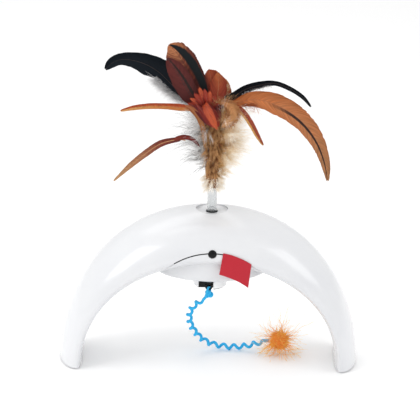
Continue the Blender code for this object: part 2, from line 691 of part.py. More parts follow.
def arc_band(radius_low, radius_high, half_angle):
    """A band along the seam, right through the arch from front to back."""
    steps = [half_angle * (2 * k / BAND_STEPS - 1) for k in range(BAND_STEPS + 1)]
    outline = [(radius_low * math.sin(a), SEAM_CENTRE_Z + radius_low * math.cos(a)) for a in steps]
    outline += [(radius_high * math.sin(a), SEAM_CENTRE_Z + radius_high * math.cos(a)) for a in reversed(steps)]
    reach = CROWN_HALF_DEPTH + CUT_OVERRUN
    return prism_y("band", outline, -reach, reach)


def make_seam_strip(name, side):
    """The thin black strip that fills the seam. side is 1 at the front and -1 at the back."""
    low = SEAM_RADIUS + FIT_GAP
    high = low + STRIP_WIDTH
    rings = []
    for k in range(STRIP_STEPS + 1):
        a = STRIP_HALF_ANGLE * (2 * k / STRIP_STEPS - 1)
        corners = []
        for radius in (low, high):
            x, z = radius * math.sin(a), SEAM_CENTRE_Z + radius * math.cos(a)
            corners.append((x, z, skin_y(x, z) + FIT_GAP))
        ring = [(x, side * y, z) for x, z, y in corners]
        ring += [(x, side * (y + STRIP_DEPTH), z) for x, z, y in reversed(corners)]
        rings.append(ring)
    mesh = loft(name, rings)
    if side > 0:
        mesh = combine(mesh, [("DIFFERENCE", sensor_cut_for_strip())])
    return mesh


def sensor_cut_for_strip():
    """The strip stops at the sensor, so only a half-depth bite is taken and it stays one piece."""
    y = skin_y(0, SEAM_TOP)
    radius = SENSOR_RADIUS + FIT_GAP
    return rod_along("bite", (0, y - CUT_OVERRUN, SEAM_TOP), (0, y + STRIP_DEPTH / 2, SEAM_TOP),
                     radius, SENSOR_SIDES)


def make_motion_sensor(black):
    """A black lens: a wide dome in front, and a slim stem that passes under the strip to the board."""
    y = skin_y(0, SEAM_TOP)
    stem = SENSOR_RADIUS * SENSOR_STEM_SHARE
    rings = []
    for tilt in SENSOR_TILTS:
        a = math.radians(tilt)
        rings.append((SENSOR_RADIUS * math.cos(a), y - SENSOR_PROUD * math.sin(a)))
    rings.append((SENSOR_RADIUS, y + STRIP_DEPTH / 2 - FIT_GAP))
    rings.append((stem, y + STRIP_DEPTH / 2 - FIT_GAP))
    rings.append((stem, BOARD_FRONT_Y - FIT_GAP))
    drop = stem + FIT_GAP
    solid = []
    for radius, place in rings:
        low = drop if radius == stem else 0
        solid.append([(radius * math.cos(2 * math.pi * k / SENSOR_SIDES), place,
                       SEAM_TOP - low + radius * math.sin(2 * math.pi * k / SENSOR_SIDES))
                      for k in range(SENSOR_SIDES)])
    return link_object("motion_sensor", loft("motion_sensor", solid), black)


def make_leg_cover(name, side, white):
    """The cover on the inner side of one leg. side is -1 on the left, 1 on the right."""
    start, end = end_angle(LEG_END_Z), COVER_END_ANGLE
    turn_from = -SHELL_EDGE_TURN - FIT_GAP / CROWN_THICKNESS * COVER_GAP_SHARE
    turn_to = -math.pi + SHELL_EDGE_TURN + FIT_GAP / CROWN_THICKNESS * COVER_GAP_SHARE
    mesh = arch_skin(name, start, end, turn_from, turn_to, COVER_STATIONS, COVER_COLUMNS)
    if side > 0:
        mesh = mirrored(mesh)
    cuts = [("DIFFERENCE", seam_cylinder(SEAM_RADIUS + SEAM_GAP)),
            ("DIFFERENCE", tub_solid(-SEAM_GAP, TUB_TOP_Z))]
    if side < 0:
        cuts.append(("DIFFERENCE", door_panel("door_hole", DOOR_GAP, CUT_OVERRUN)))
    return link_object(name, combine(mesh, cuts), white)


def mirrored(mesh):
    mesh.transform(Matrix.Scale(-1, 4, (1, 0, 0)))
    mesh.flip_normals()
    return mesh


def door_panel(name, grow, overrun):
    """The battery door's outline on the inner skin, grown by a gap and thickened by an overrun."""
    _, (x, z) = arch_curves(BATTERY_ANGLE)
    spread = (DOOR_HALF_LENGTH + grow) / math.hypot(x, z)
    half_depth = arch_half_depth(BATTERY_ANGLE)
    turn = math.acos((DOOR_HALF_DEPTH + grow) / half_depth)
    return arch_skin(name, BATTERY_ANGLE - spread, BATTERY_ANGLE + spread, -turn, -math.pi + turn,
                     DOOR_STATIONS, DOOR_COLUMNS, SHELL_WALL + 2 * overrun, -overrun)


def make_battery_door(white):
    return link_object("battery_door", door_panel("battery_door", 0, 0), white)


def make_foot_pad(name, side, black):
    """A rubber pad that closes a leg's end and stands a little out of it."""
    inset = SHELL_WALL + PAD_GAP
    rings = []
    for height in (0, PAD_HEIGHT / 2, PAD_HEIGHT):
        angle = end_angle(height)
        ring = [arch_point(angle, 2 * math.pi * k / SECTION_POINTS, inset) for k in range(SECTION_POINTS)]
        rings.append([(x, y, height if height == 0 else z) for x, y, z in ring])
    mesh = loft(name, rings)
    if side > 0:
        mesh = mirrored(mesh)
    return link_object(name, mesh, black)


# Crown fittings

def make_top_bezel(white):
    bush = SOCKET_RADIUS + RUN_GAP + BUSH_WALL + FIT_GAP
    throat = SOCKET_RADIUS + 2 * FIT_GAP
    ledge = UPPER_BUSH_TOP_Z + FIT_GAP
    rim = BEZEL_HOLE_RADIUS - FIT_GAP
    profile = [(throat, ledge), (throat, BEZEL_DISH_Z), (rim, BEZEL_RIM_Z), (rim, BEZEL_FLANGE_Z),
               (BEZEL_FLANGE_RADIUS, BEZEL_FLANGE_Z), (BEZEL_FLANGE_RADIUS, BEZEL_FLANGE_Z - BEZEL_FLANGE_THICKNESS),
               (BEZEL_BOSS_RADIUS, BEZEL_FLANGE_Z - BEZEL_FLANGE_THICKNESS), (BEZEL_BOSS_RADIUS, BEZEL_BOSS_BOTTOM_Z),
               (bush, BEZEL_BOSS_BOTTOM_Z), (bush, ledge)]
    return link_object("top_bezel", turned("top_bezel", profile, FITTING_SIDES, bored=True), white)


def make_upper_bush(bronze):
    inner = SOCKET_RADIUS + RUN_GAP
    outer = inner + BUSH_WALL
    profile = [(inner, UPPER_BUSH_BOTTOM_Z), (inner, UPPER_BUSH_TOP_Z), (outer, UPPER_BUSH_TOP_Z),
               (outer, UPPER_BUSH_BOTTOM_Z)]
    return link_object("upper_bush", turned("upper_bush", profile, FITTING_SIDES, bored=True), bronze)


def make_lower_bush(bronze):
    inner = SHAFT_RADIUS + RUN_GAP
    outer = inner + BUSH_WALL
    bottom = TUB_FLOOR_Z + FIT_GAP
    shoulder = TUB_FLOOR_Z + TUB_FLOOR_WALL + FIT_GAP
    top = bottom + LOWER_BUSH_HEIGHT
    profile = [(inner, bottom), (inner, top), (outer + LOWER_BUSH_FLANGE, top),
               (outer + LOWER_BUSH_FLANGE, shoulder), (outer, shoulder), (outer, bottom)]
    return link_object("lower_bush", turned("lower_bush", profile, FITTING_SIDES, bored=True), bronze)


# Gear train


def gear_ring(teeth, centre_x, z, phase):
    """The outline of a spur gear with narrow teeth. phase turns it by a share of one tooth."""
    pitch = GEAR_MODULE * teeth / 2
    root = pitch - GEAR_MODULE * ROOT_DEPTH_SHARE
    tip = pitch + GEAR_MODULE * TIP_HEIGHT_SHARE
    step = 2 * math.pi / teeth
    points = []
    for k in range(teeth):
        middle = (k + phase) * step
        for radius, width_share in ((root, -ROOT_WIDTH_SHARE), (tip, -TIP_WIDTH_SHARE),
                                    (tip, TIP_WIDTH_SHARE), (root, ROOT_WIDTH_SHARE)):
            a = middle + width_share * step / 2
            points.append((centre_x + radius * math.cos(a), radius * math.sin(a), z))
    return points


def gear_mesh(name, teeth, centre_x, low, high, bore, phase, extra=()):
    """A spur gear with a round bore, joined to any extra solids before it is bored."""
    wheel = loft(name, [gear_ring(teeth, centre_x, low, phase), gear_ring(teeth, centre_x, high, phase)])
    steps = [("UNION", solid) for solid in extra]
    steps.append(("DIFFERENCE", turned("bore", [(bore, 0), (bore, ARCH_HEIGHT)], SHAFT_SIDES, (centre_x, 0))))
    return combine(wheel, steps)


def make_drive_gear(nylon):
    """The large wheel on the main shaft, with a hub that reaches up to the gear plate."""
    hub_radius = SHAFT_RADIUS + GEAR_HUB_WALL
    hub = turned("hub", [(hub_radius, DRIVE_GEAR_Z + GEAR_THICKNESS / 2), (hub_radius, GEAR_PLATE_Z - FIT_GAP)],
                 SHAFT_SIDES)
    mesh = gear_mesh("drive_gear", DRIVE_TEETH, 0, DRIVE_GEAR_Z, DRIVE_GEAR_Z + GEAR_THICKNESS,
                     SHAFT_RADIUS + FIT_GAP / 2, 0, [hub])
    return link_object("drive_gear", mesh, nylon)


def make_idler_gear(nylon):
    """Small wheel below, large wheel above, in one moulding. Its small wheel has a gap
    facing the drive gear's tooth at the line of centres."""
    large = loft("idler_large", [gear_ring(IDLER_LARGE_TEETH, IDLER_X, z, 0)
                                 for z in (IDLER_LARGE_Z, IDLER_LARGE_Z + IDLER_LARGE_THICKNESS)])
    mesh = gear_mesh("idler_gear", IDLER_SMALL_TEETH, IDLER_X, DRIVE_GEAR_Z,
                     IDLER_LARGE_Z + IDLER_LARGE_THICKNESS / 2, PIN_RADIUS + RUN_GAP, HALF_SHARE, [large])
    return link_object("idler_gear", mesh, nylon)


def make_motor_pinion(brass):
    middle = IDLER_LARGE_Z + IDLER_LARGE_THICKNESS / 2
    low, high = middle - PINION_THICKNESS / 2, middle + PINION_THICKNESS / 2
    mesh = gear_mesh("motor_pinion", PINION_TEETH, MOTOR_X, low, high, MOTOR_SHAFT_RADIUS + FIT_GAP / 2, HALF_SHARE)
    return link_object("motor_pinion", mesh, brass)


def make_motor_shaft(steel):
    low = IDLER_LARGE_Z + IDLER_LARGE_THICKNESS / 2 - PINION_THICKNESS / 2
    high = GEAR_PLATE_Z + GEAR_PLATE_THICKNESS + MOTOR_SHAFT_HOLD
    mesh = turned("motor_shaft", [(MOTOR_SHAFT_RADIUS, low), (MOTOR_SHAFT_RADIUS, high)], SCREW_SIDES, (MOTOR_X, 0))
    return link_object("motor_shaft", mesh, steel)


def make_idler_pin(steel):
    top = GEAR_PLATE_Z + GEAR_PLATE_THICKNESS
    profile = [(PIN_RADIUS, PIN_BOTTOM_Z), (PIN_RADIUS, top + FIT_GAP), (PIN_RADIUS + PIN_HEAD, top + FIT_GAP),
               (PIN_RADIUS + PIN_HEAD, top + FIT_GAP + PIN_HEAD)]
    return link_object("idler_pin", turned("idler_pin", profile, SHAFT_SIDES, (IDLER_X, 0)), steel)


def make_gear_plate(grey):
    top = GEAR_PLATE_Z + GEAR_PLATE_THICKNESS
    plate = loft("gear_plate", [circle_points(GEAR_PLATE_HALF_X, GEAR_PLATE_HALF_Y, z, ROUND_SIDES)
                                for z in (GEAR_PLATE_Z, top)])
    steps = []
    back = BOARD_FRONT_Y + BOARD_THICKNESS + FIT_GAP
    for side in (-1, 1):
        x = BOARD_CENTRE_X + side * (BOARD_WIDTH / 2 - RIB_WIDTH)
        low, high, foot = x - RIB_WIDTH / 2, x + RIB_WIDTH / 2, top - GEAR_PLATE_THICKNESS / 2
        rib_top, ledge_top = BOARD_BOTTOM_Z + BOARD_HEIGHT / 2, BOARD_BOTTOM_Z - FIT_GAP
        steps.append(("UNION", box_mesh("rib", (low, back, foot), (high, back + RIB_DEPTH, rib_top))))
        steps.append(("UNION", box_mesh("ledge", (low, BOARD_FRONT_Y, foot), (high, back + RIB_DEPTH / 2, ledge_top))))
    holes = [(0, SHAFT_RADIUS + 2 * FIT_GAP), (IDLER_X, PIN_RADIUS + FIT_GAP), (MOTOR_X, MOTOR_SHAFT_RADIUS + FIT_GAP)]
    for x, radius in holes:
        steps.append(("DIFFERENCE", turned("hole", [(radius, 0), (radius, ARCH_HEIGHT)], SHAFT_SIDES, (x, 0))))
    for x, y in post_places():
        radius = SCREW_RADIUS + SCREW_CLEARANCE
        steps.append(("DIFFERENCE", turned("hole", [(radius, 0), (radius, ARCH_HEIGHT)], SCREW_SIDES, (x, y))))
    return link_object("gear_plate", combine(plate, steps), grey)


def make_plate_screws(steel):
    top = GEAR_PLATE_Z + GEAR_PLATE_THICKNESS
    screws = []
    for number, (x, y) in enumerate(post_places(), 1):
        profile = [(SCREW_RADIUS, top - SCREW_LENGTH), (SCREW_RADIUS, top + FIT_GAP), (SCREW_HEAD_RADIUS, top + FIT_GAP),
                   (SCREW_HEAD_RADIUS, top + FIT_GAP + SCREW_HEAD_HEIGHT / 2),
                   (SCREW_HEAD_RADIUS / 2, top + FIT_GAP + SCREW_HEAD_HEIGHT)]
        name = f"plate_screw_{number}"
        screws.append(link_object(name, turned(name, profile, SCREW_SIDES, (x, y)), steel))
    return screws


def make_motor(steel, cream):
    base = GEAR_PLATE_Z + GEAR_PLATE_THICKNESS + FIT_GAP
    bore = MOTOR_SHAFT_RADIUS + RUN_GAP
    depth = MOTOR_SHAFT_HOLD + FIT_GAP
    can = turned("motor_can", [(bore, base + depth), (bore, base), (MOTOR_RADIUS, base),
                               (MOTOR_RADIUS, base + MOTOR_LENGTH)], FITTING_SIDES, (MOTOR_X, 0))
    cap_base = base + MOTOR_LENGTH + FIT_GAP
    cap_radius = MOTOR_RADIUS - MOTOR_CAP_INSET
    cap = turned("motor_end_cap", [(cap_radius, cap_base), (cap_radius, cap_base + MOTOR_CAP_HEIGHT)],
                 FITTING_SIDES, (MOTOR_X, 0))
    return [link_object("motor_can", can, steel), link_object("motor_end_cap", cap, cream)]


def make_control_board(green):
    half = BOARD_WIDTH / 2
    mesh = box_mesh("control_board", (BOARD_CENTRE_X - half, BOARD_FRONT_Y, BOARD_BOTTOM_Z),
                    (BOARD_CENTRE_X + half, BOARD_FRONT_Y + BOARD_THICKNESS, BOARD_BOTTOM_Z + BOARD_HEIGHT))
    chip_low = BOARD_FRONT_Y + BOARD_THICKNESS / 2
    chip = box_mesh("chip", (BOARD_CENTRE_X - CHIP_HALF, chip_low, BOARD_BOTTOM_Z + 2 * CHIP_HALF),
                    (BOARD_CENTRE_X + CHIP_HALF, chip_low + CHIP_RISE, BOARD_BOTTOM_Z + 4 * CHIP_HALF))
    return link_object("control_board", combine(mesh, [("UNION", chip)]), green)


def make_power_switch(grey, black):
    half = SWITCH_WIDTH / 2
    middle = KNOB_TRAVEL / 2
    inner_wall = TUB_HALF_Y - SHELL_WALL - TUB_EDGE_ROUND / 2
    back = inner_wall * math.sqrt(1 - ((middle + half) / (TUB_HALF_X - SHELL_WALL)) ** 2) - FIT_GAP
    body = box_mesh("power_switch", (middle - half, back - SWITCH_DEPTH, SWITCH_Z - SWITCH_HEIGHT / 2),
                    (middle + half, back, SWITCH_Z + SWITCH_HEIGHT / 2))
    low = back - SWITCH_DEPTH / 2
    slot_half = KNOB_HEIGHT / 2 + KNOB_CLEARANCE
    slot = box_mesh("slot", (-KNOB_WIDTH / 2 - KNOB_CLEARANCE, low - FIT_GAP, SWITCH_Z - slot_half),
                    (KNOB_WIDTH / 2 + KNOB_TRAVEL + KNOB_CLEARANCE, back + CUT_OVERRUN, SWITCH_Z + slot_half))
    body = combine(body, [("DIFFERENCE", slot)])
    knob = box_mesh("switch_knob", (-KNOB_WIDTH / 2, low, SWITCH_Z - KNOB_HEIGHT / 2),
                    (KNOB_WIDTH / 2, TUB_HALF_Y + KNOB_PROUD, SWITCH_Z + KNOB_HEIGHT / 2))
    return [link_object("power_switch", body, grey), link_object("switch_knob", knob, black)]


# Batteries

def shoulder_frame():
    """Origin on the inner skin at the battery door, with X along the arch and Z out of it."""
    _, (x, z) = arch_curves(BATTERY_ANGLE)
    _, (x2, z2) = arch_curves(BATTERY_ANGLE + SMALL_TURN)
    _, (x1, z1) = arch_curves(BATTERY_ANGLE - SMALL_TURN)
    along = Vector((x2 - x1, 0, z2 - z1)).normalized()
    back = Vector((0, 1, 0))
    out = along.cross(back)
    if out.z < 0:
        back, out = -back, -out
    frame = Matrix((along, back, out)).transposed().to_4x4()
    frame.translation = Vector((x, 0, z))
    return frame


def placed(mesh, frame):
    mesh.transform(frame)
    if frame.determinant() < 0:
        mesh.flip_normals()
    return mesh


def make_battery_box(grey):
    inner_x = CELL_COUNT * CELL_PITCH / 2 + FIT_GAP
    inner_y = (CELL_LENGTH + CELL_NUB_HEIGHT + BOX_LENGTH_SPARE) / 2
    top = BOX_LIFT + BOX_DEPTH
    outer = box_mesh("battery_box", (-inner_x - BOX_WALL, -inner_y - BOX_WALL, BOX_LIFT),
                     (inner_x + BOX_WALL, inner_y + BOX_WALL, top))
    hollow = box_mesh("hollow", (-inner_x, -inner_y, BOX_LIFT - CUT_OVERRUN), (inner_x, inner_y, top - BOX_WALL))
    return link_object("battery_box", placed(combine(outer, [("DIFFERENCE", hollow)]), shoulder_frame()), grey)


def cell_axis_z():
    return BOX_LIFT + BOX_DEPTH - BOX_WALL - FIT_GAP - CELL_RADIUS


def cell_x(number):
    return (number - (CELL_COUNT + 1) / 2) * CELL_PITCH


def make_battery_cells(sleeve):
    cells = []
    frame = shoulder_frame()
    inner_y = (CELL_LENGTH + CELL_NUB_HEIGHT + BOX_LENGTH_SPARE) / 2
    for number in range(1, CELL_COUNT + 1):
        flip = 1 if number % 2 else -1
        end = inner_y - CONTACT_THICKNESS - 2 * FIT_GAP
        rings = []
        for radius, y in ((CELL_NUB_RADIUS, end), (CELL_NUB_RADIUS, end - CELL_NUB_HEIGHT),
                          (CELL_RADIUS, end - CELL_NUB_HEIGHT), (CELL_RADIUS, end - CELL_NUB_HEIGHT - CELL_LENGTH)):
            rings.append([(cell_x(number) + radius * math.cos(2 * math.pi * k / SHAFT_SIDES), flip * y,
                           cell_axis_z() + radius * math.sin(2 * math.pi * k / SHAFT_SIDES))
                          for k in range(SHAFT_SIDES)])
        name = f"battery_cell_{number}"
        cells.append(link_object(name, placed(loft(name, rings), frame), sleeve))
    return cells


def make_battery_contacts(steel):
    """A coil spring at each cell's flat end and a plate at its nub, on the box's end walls."""
    made = []
    frame = shoulder_frame()
    inner_y = (CELL_LENGTH + CELL_NUB_HEIGHT + BOX_LENGTH_SPARE) / 2
    cell_end = inner_y - CONTACT_THICKNESS - 2 * FIT_GAP - CELL_NUB_HEIGHT - CELL_LENGTH
    room = cell_end + inner_y - 2 * FIT_GAP - 2 * SPRING_WIRE_RADIUS
    for number in range(1, CELL_COUNT + 1):
        flip = 1 if number % 2 else -1
        wall = -inner_y + FIT_GAP + SPRING_WIRE_RADIUS
        points = []
        steps = SPRING_TURNS * SPRING_POINTS
        for k in range(steps + 1):
            a = 2 * math.pi * k / SPRING_POINTS
            radius = SPRING_COIL_RADIUS
            points.append((cell_x(number) + radius * math.cos(a), flip * (wall + room * k / steps),
                           cell_axis_z() + radius * math.sin(a)))
        name = f"battery_spring_{number}"
        made.append(tube_object(name, points, SPRING_WIRE_RADIUS, 0, steel, frame))
        plate_low, plate_high = sorted((flip * (inner_y - FIT_GAP), flip * (inner_y - FIT_GAP - CONTACT_THICKNESS)))
        half = CELL_NUB_RADIUS * CONTACT_SHARE
        name = f"battery_contact_{number}"
        plate = box_mesh(name, (cell_x(number) - half, plate_low, cell_axis_z() - half),
                         (cell_x(number) + half, plate_high, cell_axis_z() + half))
        made.append(link_object(name, placed(plate, frame), steel))
    return made


def tube_object(name, points, radius, resolution, mat, frame=None):
    """A round tube along points, as a curve with filled caps."""
    curve = bpy.data.curves.new(name, "CURVE")
    curve.dimensions = "3D"
    curve.bevel_depth = radius
    curve.bevel_resolution = resolution
    curve.use_fill_caps = True
    spline = curve.splines.new("POLY")
    spline.points.add(len(points) - 1)
    for point, place in zip(spline.points, points):
        spot = frame @ Vector(place) if frame else Vector(place)
        point.co = (*spot, 1)
    curve.materials.append(mat)
    obj = bpy.data.objects.new(name, curve)
    bpy.context.collection.objects.link(obj)
    return obj


# Rotor


def hub_pocket(low, high):
    """The pocket in the hub's front rim, where the cord's hook sits."""
    half = HUB_POCKET_WIDTH / 2
    return box_mesh("pocket", (HUB_POCKET_X - half, -HUB_RADIUS - CUT_OVERRUN, low),
                    (HUB_POCKET_X + half, -HUB_RADIUS + HUB_POCKET_DEPTH, high))


def make_cord_hub(white):
    bore = SHAFT_RADIUS + FIT_GAP / 2
    profile = [(bore, HUB_BOTTOM_Z), (HUB_RADIUS - HUB_EDGE, HUB_BOTTOM_Z), (HUB_RADIUS, HUB_BOTTOM_Z + HUB_EDGE),
               (HUB_RADIUS, HUB_TOP_Z - HUB_EDGE), (HUB_RADIUS - HUB_EDGE, HUB_TOP_Z), (bore, HUB_TOP_Z)]
    mesh = turned("cord_hub", profile, bored=True)
    mesh = combine(mesh, [("DIFFERENCE", hub_pocket(HUB_BOTTOM_Z - CUT_OVERRUN, HUB_TOP_Z + CUT_OVERRUN))])
    return link_object("cord_hub", mesh, white)


def make_hub_plate(black):
    radius = HUB_RADIUS - HUB_PLATE_INSET
    top = HUB_BOTTOM_Z - FIT_GAP
    mesh = turned("hub_plate", [(radius, top - HUB_PLATE_THICKNESS), (radius, top)])
    mesh = combine(mesh, [("DIFFERENCE", hub_pocket(top - CUT_OVERRUN, top + CUT_OVERRUN))])
    return link_object("hub_plate", mesh, black)


def make_cord_hook(black):
    """A black clip in the hub's pocket, with a ring below it for the cord."""
    half = HUB_POCKET_WIDTH / 2 - FIT_GAP
    back = -HUB_RADIUS + HUB_POCKET_DEPTH - FIT_GAP
    top = HUB_TOP_Z - FIT_GAP
    plate = box_mesh("cord_hook", (HUB_POCKET_X - half, back - HOOK_WALL, HUB_BOTTOM_Z),
                     (HUB_POCKET_X + half, back, top))
    shelf = box_mesh("shelf", (HUB_POCKET_X - half, -HUB_RADIUS + HUB_EDGE, top - HOOK_WALL),
                     (HUB_POCKET_X + half, back - HOOK_WALL / 2, top))
    knot = knot_centre()
    ring_centre = knot + Vector((0, 0, KNOT_RADIUS + FIT_GAP + HOOK_WIRE_RADIUS + HOOK_RING_RADIUS))
    rings = []
    for k in range(HOOK_STEPS):
        a = 2 * math.pi * k / HOOK_STEPS
        middle = ring_centre + HOOK_RING_RADIUS * Vector((math.cos(a), 0, math.sin(a)))
        outward = Vector((math.cos(a), 0, math.sin(a)))
        rings.append([middle + HOOK_WIRE_RADIUS * (math.cos(b) * outward + math.sin(b) * Vector((0, 1, 0)))
                      for b in (2 * math.pi * j / HOOK_SIDES for j in range(HOOK_SIDES))])
    ring = loft_loop("ring", rings)
    return link_object("cord_hook", combine(plate, [("UNION", shelf), ("UNION", ring)]), black)


def make_main_shaft(steel):
    mesh = turned("main_shaft", [(SHAFT_RADIUS, SHAFT_BOTTOM_Z), (SHAFT_RADIUS, SHAFT_TOP_Z)], SHAFT_SIDES)
    return link_object("main_shaft", mesh, steel)


def make_wand_socket(black):
    """The black cup on the shaft's top that the wand stands in."""
    bore = SHAFT_RADIUS + FIT_GAP / 2
    cup = TUBE_RADIUS + FIT_GAP
    vent = SHAFT_RADIUS / 2
    profile = [(bore, SOCKET_BOTTOM_Z), (bore, SHAFT_TOP_Z + FIT_GAP), (vent, SHAFT_TOP_Z + FIT_GAP),
               (vent, SOCKET_SEAT_Z), (cup, SOCKET_SEAT_Z), (cup, SOCKET_TOP_Z), (SOCKET_RADIUS, SOCKET_TOP_Z),
               (SOCKET_RADIUS, SOCKET_BOTTOM_Z)]
    return link_object("wand_socket", turned("wand_socket", profile, FITTING_SIDES, bored=True), black)


# Wand

def make_wand_tube(clear):
    bottom = SOCKET_SEAT_Z + FIT_GAP
    inner = TUBE_RADIUS - TUBE_WALL
    profile = [(inner, bottom), (inner, TUBE_TOP_Z), (TUBE_RADIUS, TUBE_TOP_Z), (TUBE_RADIUS, bottom)]
    return link_object("wand_tube", turned("wand_tube", profile, TUBE_SIDES, bored=True), clear)


def make_feather_binding(brown):
    outer = BINDING_RADIUS + BINDING_WALL
    top = BINDING_BOTTOM_Z + BINDING_HEIGHT
    profile = [(BINDING_RADIUS, BINDING_BOTTOM_Z), (BINDING_RADIUS, top), (outer, top), (outer, BINDING_BOTTOM_Z)]
    return link_object("feather_binding", turned("feather_binding", profile, TUBE_SIDES, bored=True), brown)


def make_fur_wrap(tan):
    """A bell of fur round the tube: tight below, fullest two thirds up, open at the top."""
    height = FUR_TOP_Z - FUR_BOTTOM_Z
    neck = TUBE_RADIUS + FUR_NECK_GAP
    bore = BINDING_RADIUS + BINDING_WALL + FUR_NECK_GAP
    profile = [(FUR_WIDEST * radius, FUR_BOTTOM_Z + height * share) for share, radius in FUR_PROFILE_SHARES]
    shoulder = BINDING_BOTTOM_Z - FUR_NECK_GAP
    profile += [(FUR_MOUTH_RADIUS + FUR_RIM, FUR_TOP_Z), (FUR_MOUTH_RADIUS, FUR_TOP_Z),
                (bore, FUR_TOP_Z - FUR_MOUTH_DEPTH), (bore, shoulder), (neck, shoulder), (neck, FUR_BOTTOM_Z)]
    return link_object("fur_wrap", turned("fur_wrap", profile, FUR_SIDES, bored=True), tan)


def smooth_route(points, count):
    """Points spread evenly along a smooth curve through the given ones."""
    pts = [Vector(p) for p in points]
    dense = []
    for k in range(len(pts) - 1):
        p0, p1 = pts[max(k - 1, 0)], pts[k]
        p2, p3 = pts[k + 1], pts[min(k + 2, len(pts) - 1)]
        for step in range(ROUTE_STEPS):
            t = step / ROUTE_STEPS
            dense.append(((2 * p1) + (p2 - p0) * t + (2 * p0 - 5 * p1 + 4 * p2 - p3) * t ** 2
                          + (3 * p1 - p0 - 3 * p2 + p3) * t ** 3) / 2)
    dense.append(pts[-1])
    lengths = [0]
    for a, b in zip(dense, dense[1:]):
        lengths.append(lengths[-1] + (b - a).length)
    places = []
    for k in range(count):
        goal = lengths[-1] * k / (count - 1)
        spot = min(int(np.searchsorted(lengths, goal, side="right")) - 1, len(dense) - 2)
        span = lengths[spot + 1] - lengths[spot]
        places.append(dense[spot].lerp(dense[spot + 1], (goal - lengths[spot]) / span))
    return places


def blade_mesh(name, places, half_widths):
    """A feather: a thin closed blade along a spine, flat across the way it turns."""
    count = len(places)
    rings = []
    for k, (place, width) in enumerate(zip(places, half_widths)):
        ahead = places[min(k + 1, count - 1)] - places[max(k - 1, 0)]
        tangent = ahead.normalized()
        flat = Vector((place.x, place.y, 0))
        sideways = tangent.cross(Vector((0, 1, 0)))
        if sideways.length < PARALLEL_SHARE:
            sideways = Vector((1, 0, 0))
        if k == 0:
            sideways = Vector((-flat.y, flat.x, 0))
        sideways.normalize()
        if rings and sideways.dot(previous) < 0:
            sideways = -sideways
        if rings:
            sideways = previous.lerp(sideways, TWIST_SHARE).normalized()
        previous = sideways
        face = tangent.cross(sideways).normalized()
        thick = FEATHER_THICKNESS / 2 * (1 - k / (count - 1) * THINNING_SHARE)
        edge = thick * EDGE_SHARE
        rings.append([place + sideways * width + face * edge, place + face * thick,
                      place - sideways * width + face * edge, place - sideways * width - face * edge,
                      place - face * thick, place + sideways * width - face * edge])
    mesh = loft(name, rings)
    work = bmesh.new()
    work.from_mesh(mesh)
    bmesh.ops.triangulate(work, faces=work.faces, quad_method="FIXED")
    work.to_mesh(mesh)
    work.free()
    return mesh


def spread_widths(points, widths, count):
    """The half widths given at the points, read off evenly along the chords between them."""
    marks = [0]
    for a, b in zip(points, points[1:]):
        marks.append(marks[-1] + (b - a).length)
    return np.interp(np.linspace(0, marks[-1], count), marks, widths).tolist()


def spine_points(spine_shares):
    centre = Vector((0, 0, FEATHER_BASE_Z))
    points = [centre + PLUME_REACH * Vector(share[:3]) for share in spine_shares]
    return points, [PLUME_REACH * share[3] for share in spine_shares]


def make_feather(name, degrees, spine_shares, mat):
    """A feather whose quill stands beside the tube inside the binding."""
    a = math.radians(degrees)
    foot = Vector((QUILL_CIRCLE * math.cos(a), QUILL_CIRCLE * math.sin(a), FEATHER_BASE_Z))
    neck = foot + Vector((0, 0, FUR_TOP_Z - FEATHER_BASE_Z))
    points, widths = spine_points(spine_shares)
    points = [foot, neck] + points
    widths = [QUILL_WIDTH / 2, QUILL_WIDTH / 2] + widths
    places = smooth_route(points, FEATHER_STATIONS)
    return link_object(name, blade_mesh(name, places, spread_widths(points, widths, FEATHER_STATIONS)), mat)


def make_low_feather(mat):
    points, widths = spine_points(LOW_FEATHER_SPINE_SHARES)
    places = smooth_route(points, FEATHER_STATIONS)
    mesh = blade_mesh(LOW_FEATHER_NAME, places, spread_widths(points, widths, FEATHER_STATIONS))
    return link_object(LOW_FEATHER_NAME, mesh, mat)


# Cord and pompom

def make_curly_cord(blue):
    """A helix of even curls round the route, drawn in to a straight lead at both ends."""
    steps = CURL_COUNT * CURL_POINTS
    spine = smooth_route(CORD_ROUTE, steps + 1)
    total = sum((b - a).length for a, b in zip(spine, spine[1:]))
    points = []
    side = (spine[1] - spine[0]).orthogonal().normalized()
    for k, place in enumerate(spine):
        tangent = (spine[min(k + 1, steps)] - spine[max(k - 1, 0)]).normalized()
        side = (side - tangent * side.dot(tangent)).normalized()
        other = tangent.cross(side)
        from_end = min(k, steps - k) * total / steps
        open_share = max(0, min(1, (from_end - CORD_LEAD) / (CURL_OPEN_TURNS * total / CURL_COUNT)))
        radius = CURL_RADIUS * open_share
        a = 2 * math.pi * k / CURL_POINTS
        points.append(place + radius * (math.cos(a) * side + math.sin(a) * other))
    print("least gap of the curly cord to itself, mm:", round(least_gap(points) / MM, 2))
    length = sum((b - a).length for a, b in zip(points, points[1:]))
    print("length of the curly cord along its curls, mm:", round(length / MM, 1))
    return tube_object("curly_cord", points, CORD_RADIUS, CORD_BEVEL_RESOLUTION, blue)


def least_gap(points):
    """The least gap between stretches of the cord that are half a curl or more apart."""
    apart = CURL_POINTS // 2 + 1
    closest = min((points[j] - points[k]).length
                  for k in range(len(points)) for j in range(k + apart, len(points)))
    return closest - 2 * CORD_RADIUS


def ball(name, centre, radius, detail):
    work = bmesh.new()
    bmesh.ops.create_icosphere(work, subdivisions=detail, radius=radius)
    mesh = bpy.data.meshes.new(name)
    work.to_mesh(mesh)
    work.free()
    mesh.transform(Matrix.Translation(centre))
    return mesh


def knot_centre():
    """The knot hangs under the hub's front rim, just above the cord's first point."""
    return Vector((KNOT_X, KNOT_INSET - HUB_RADIUS, HUB_BOTTOM_Z - KNOT_DROP))


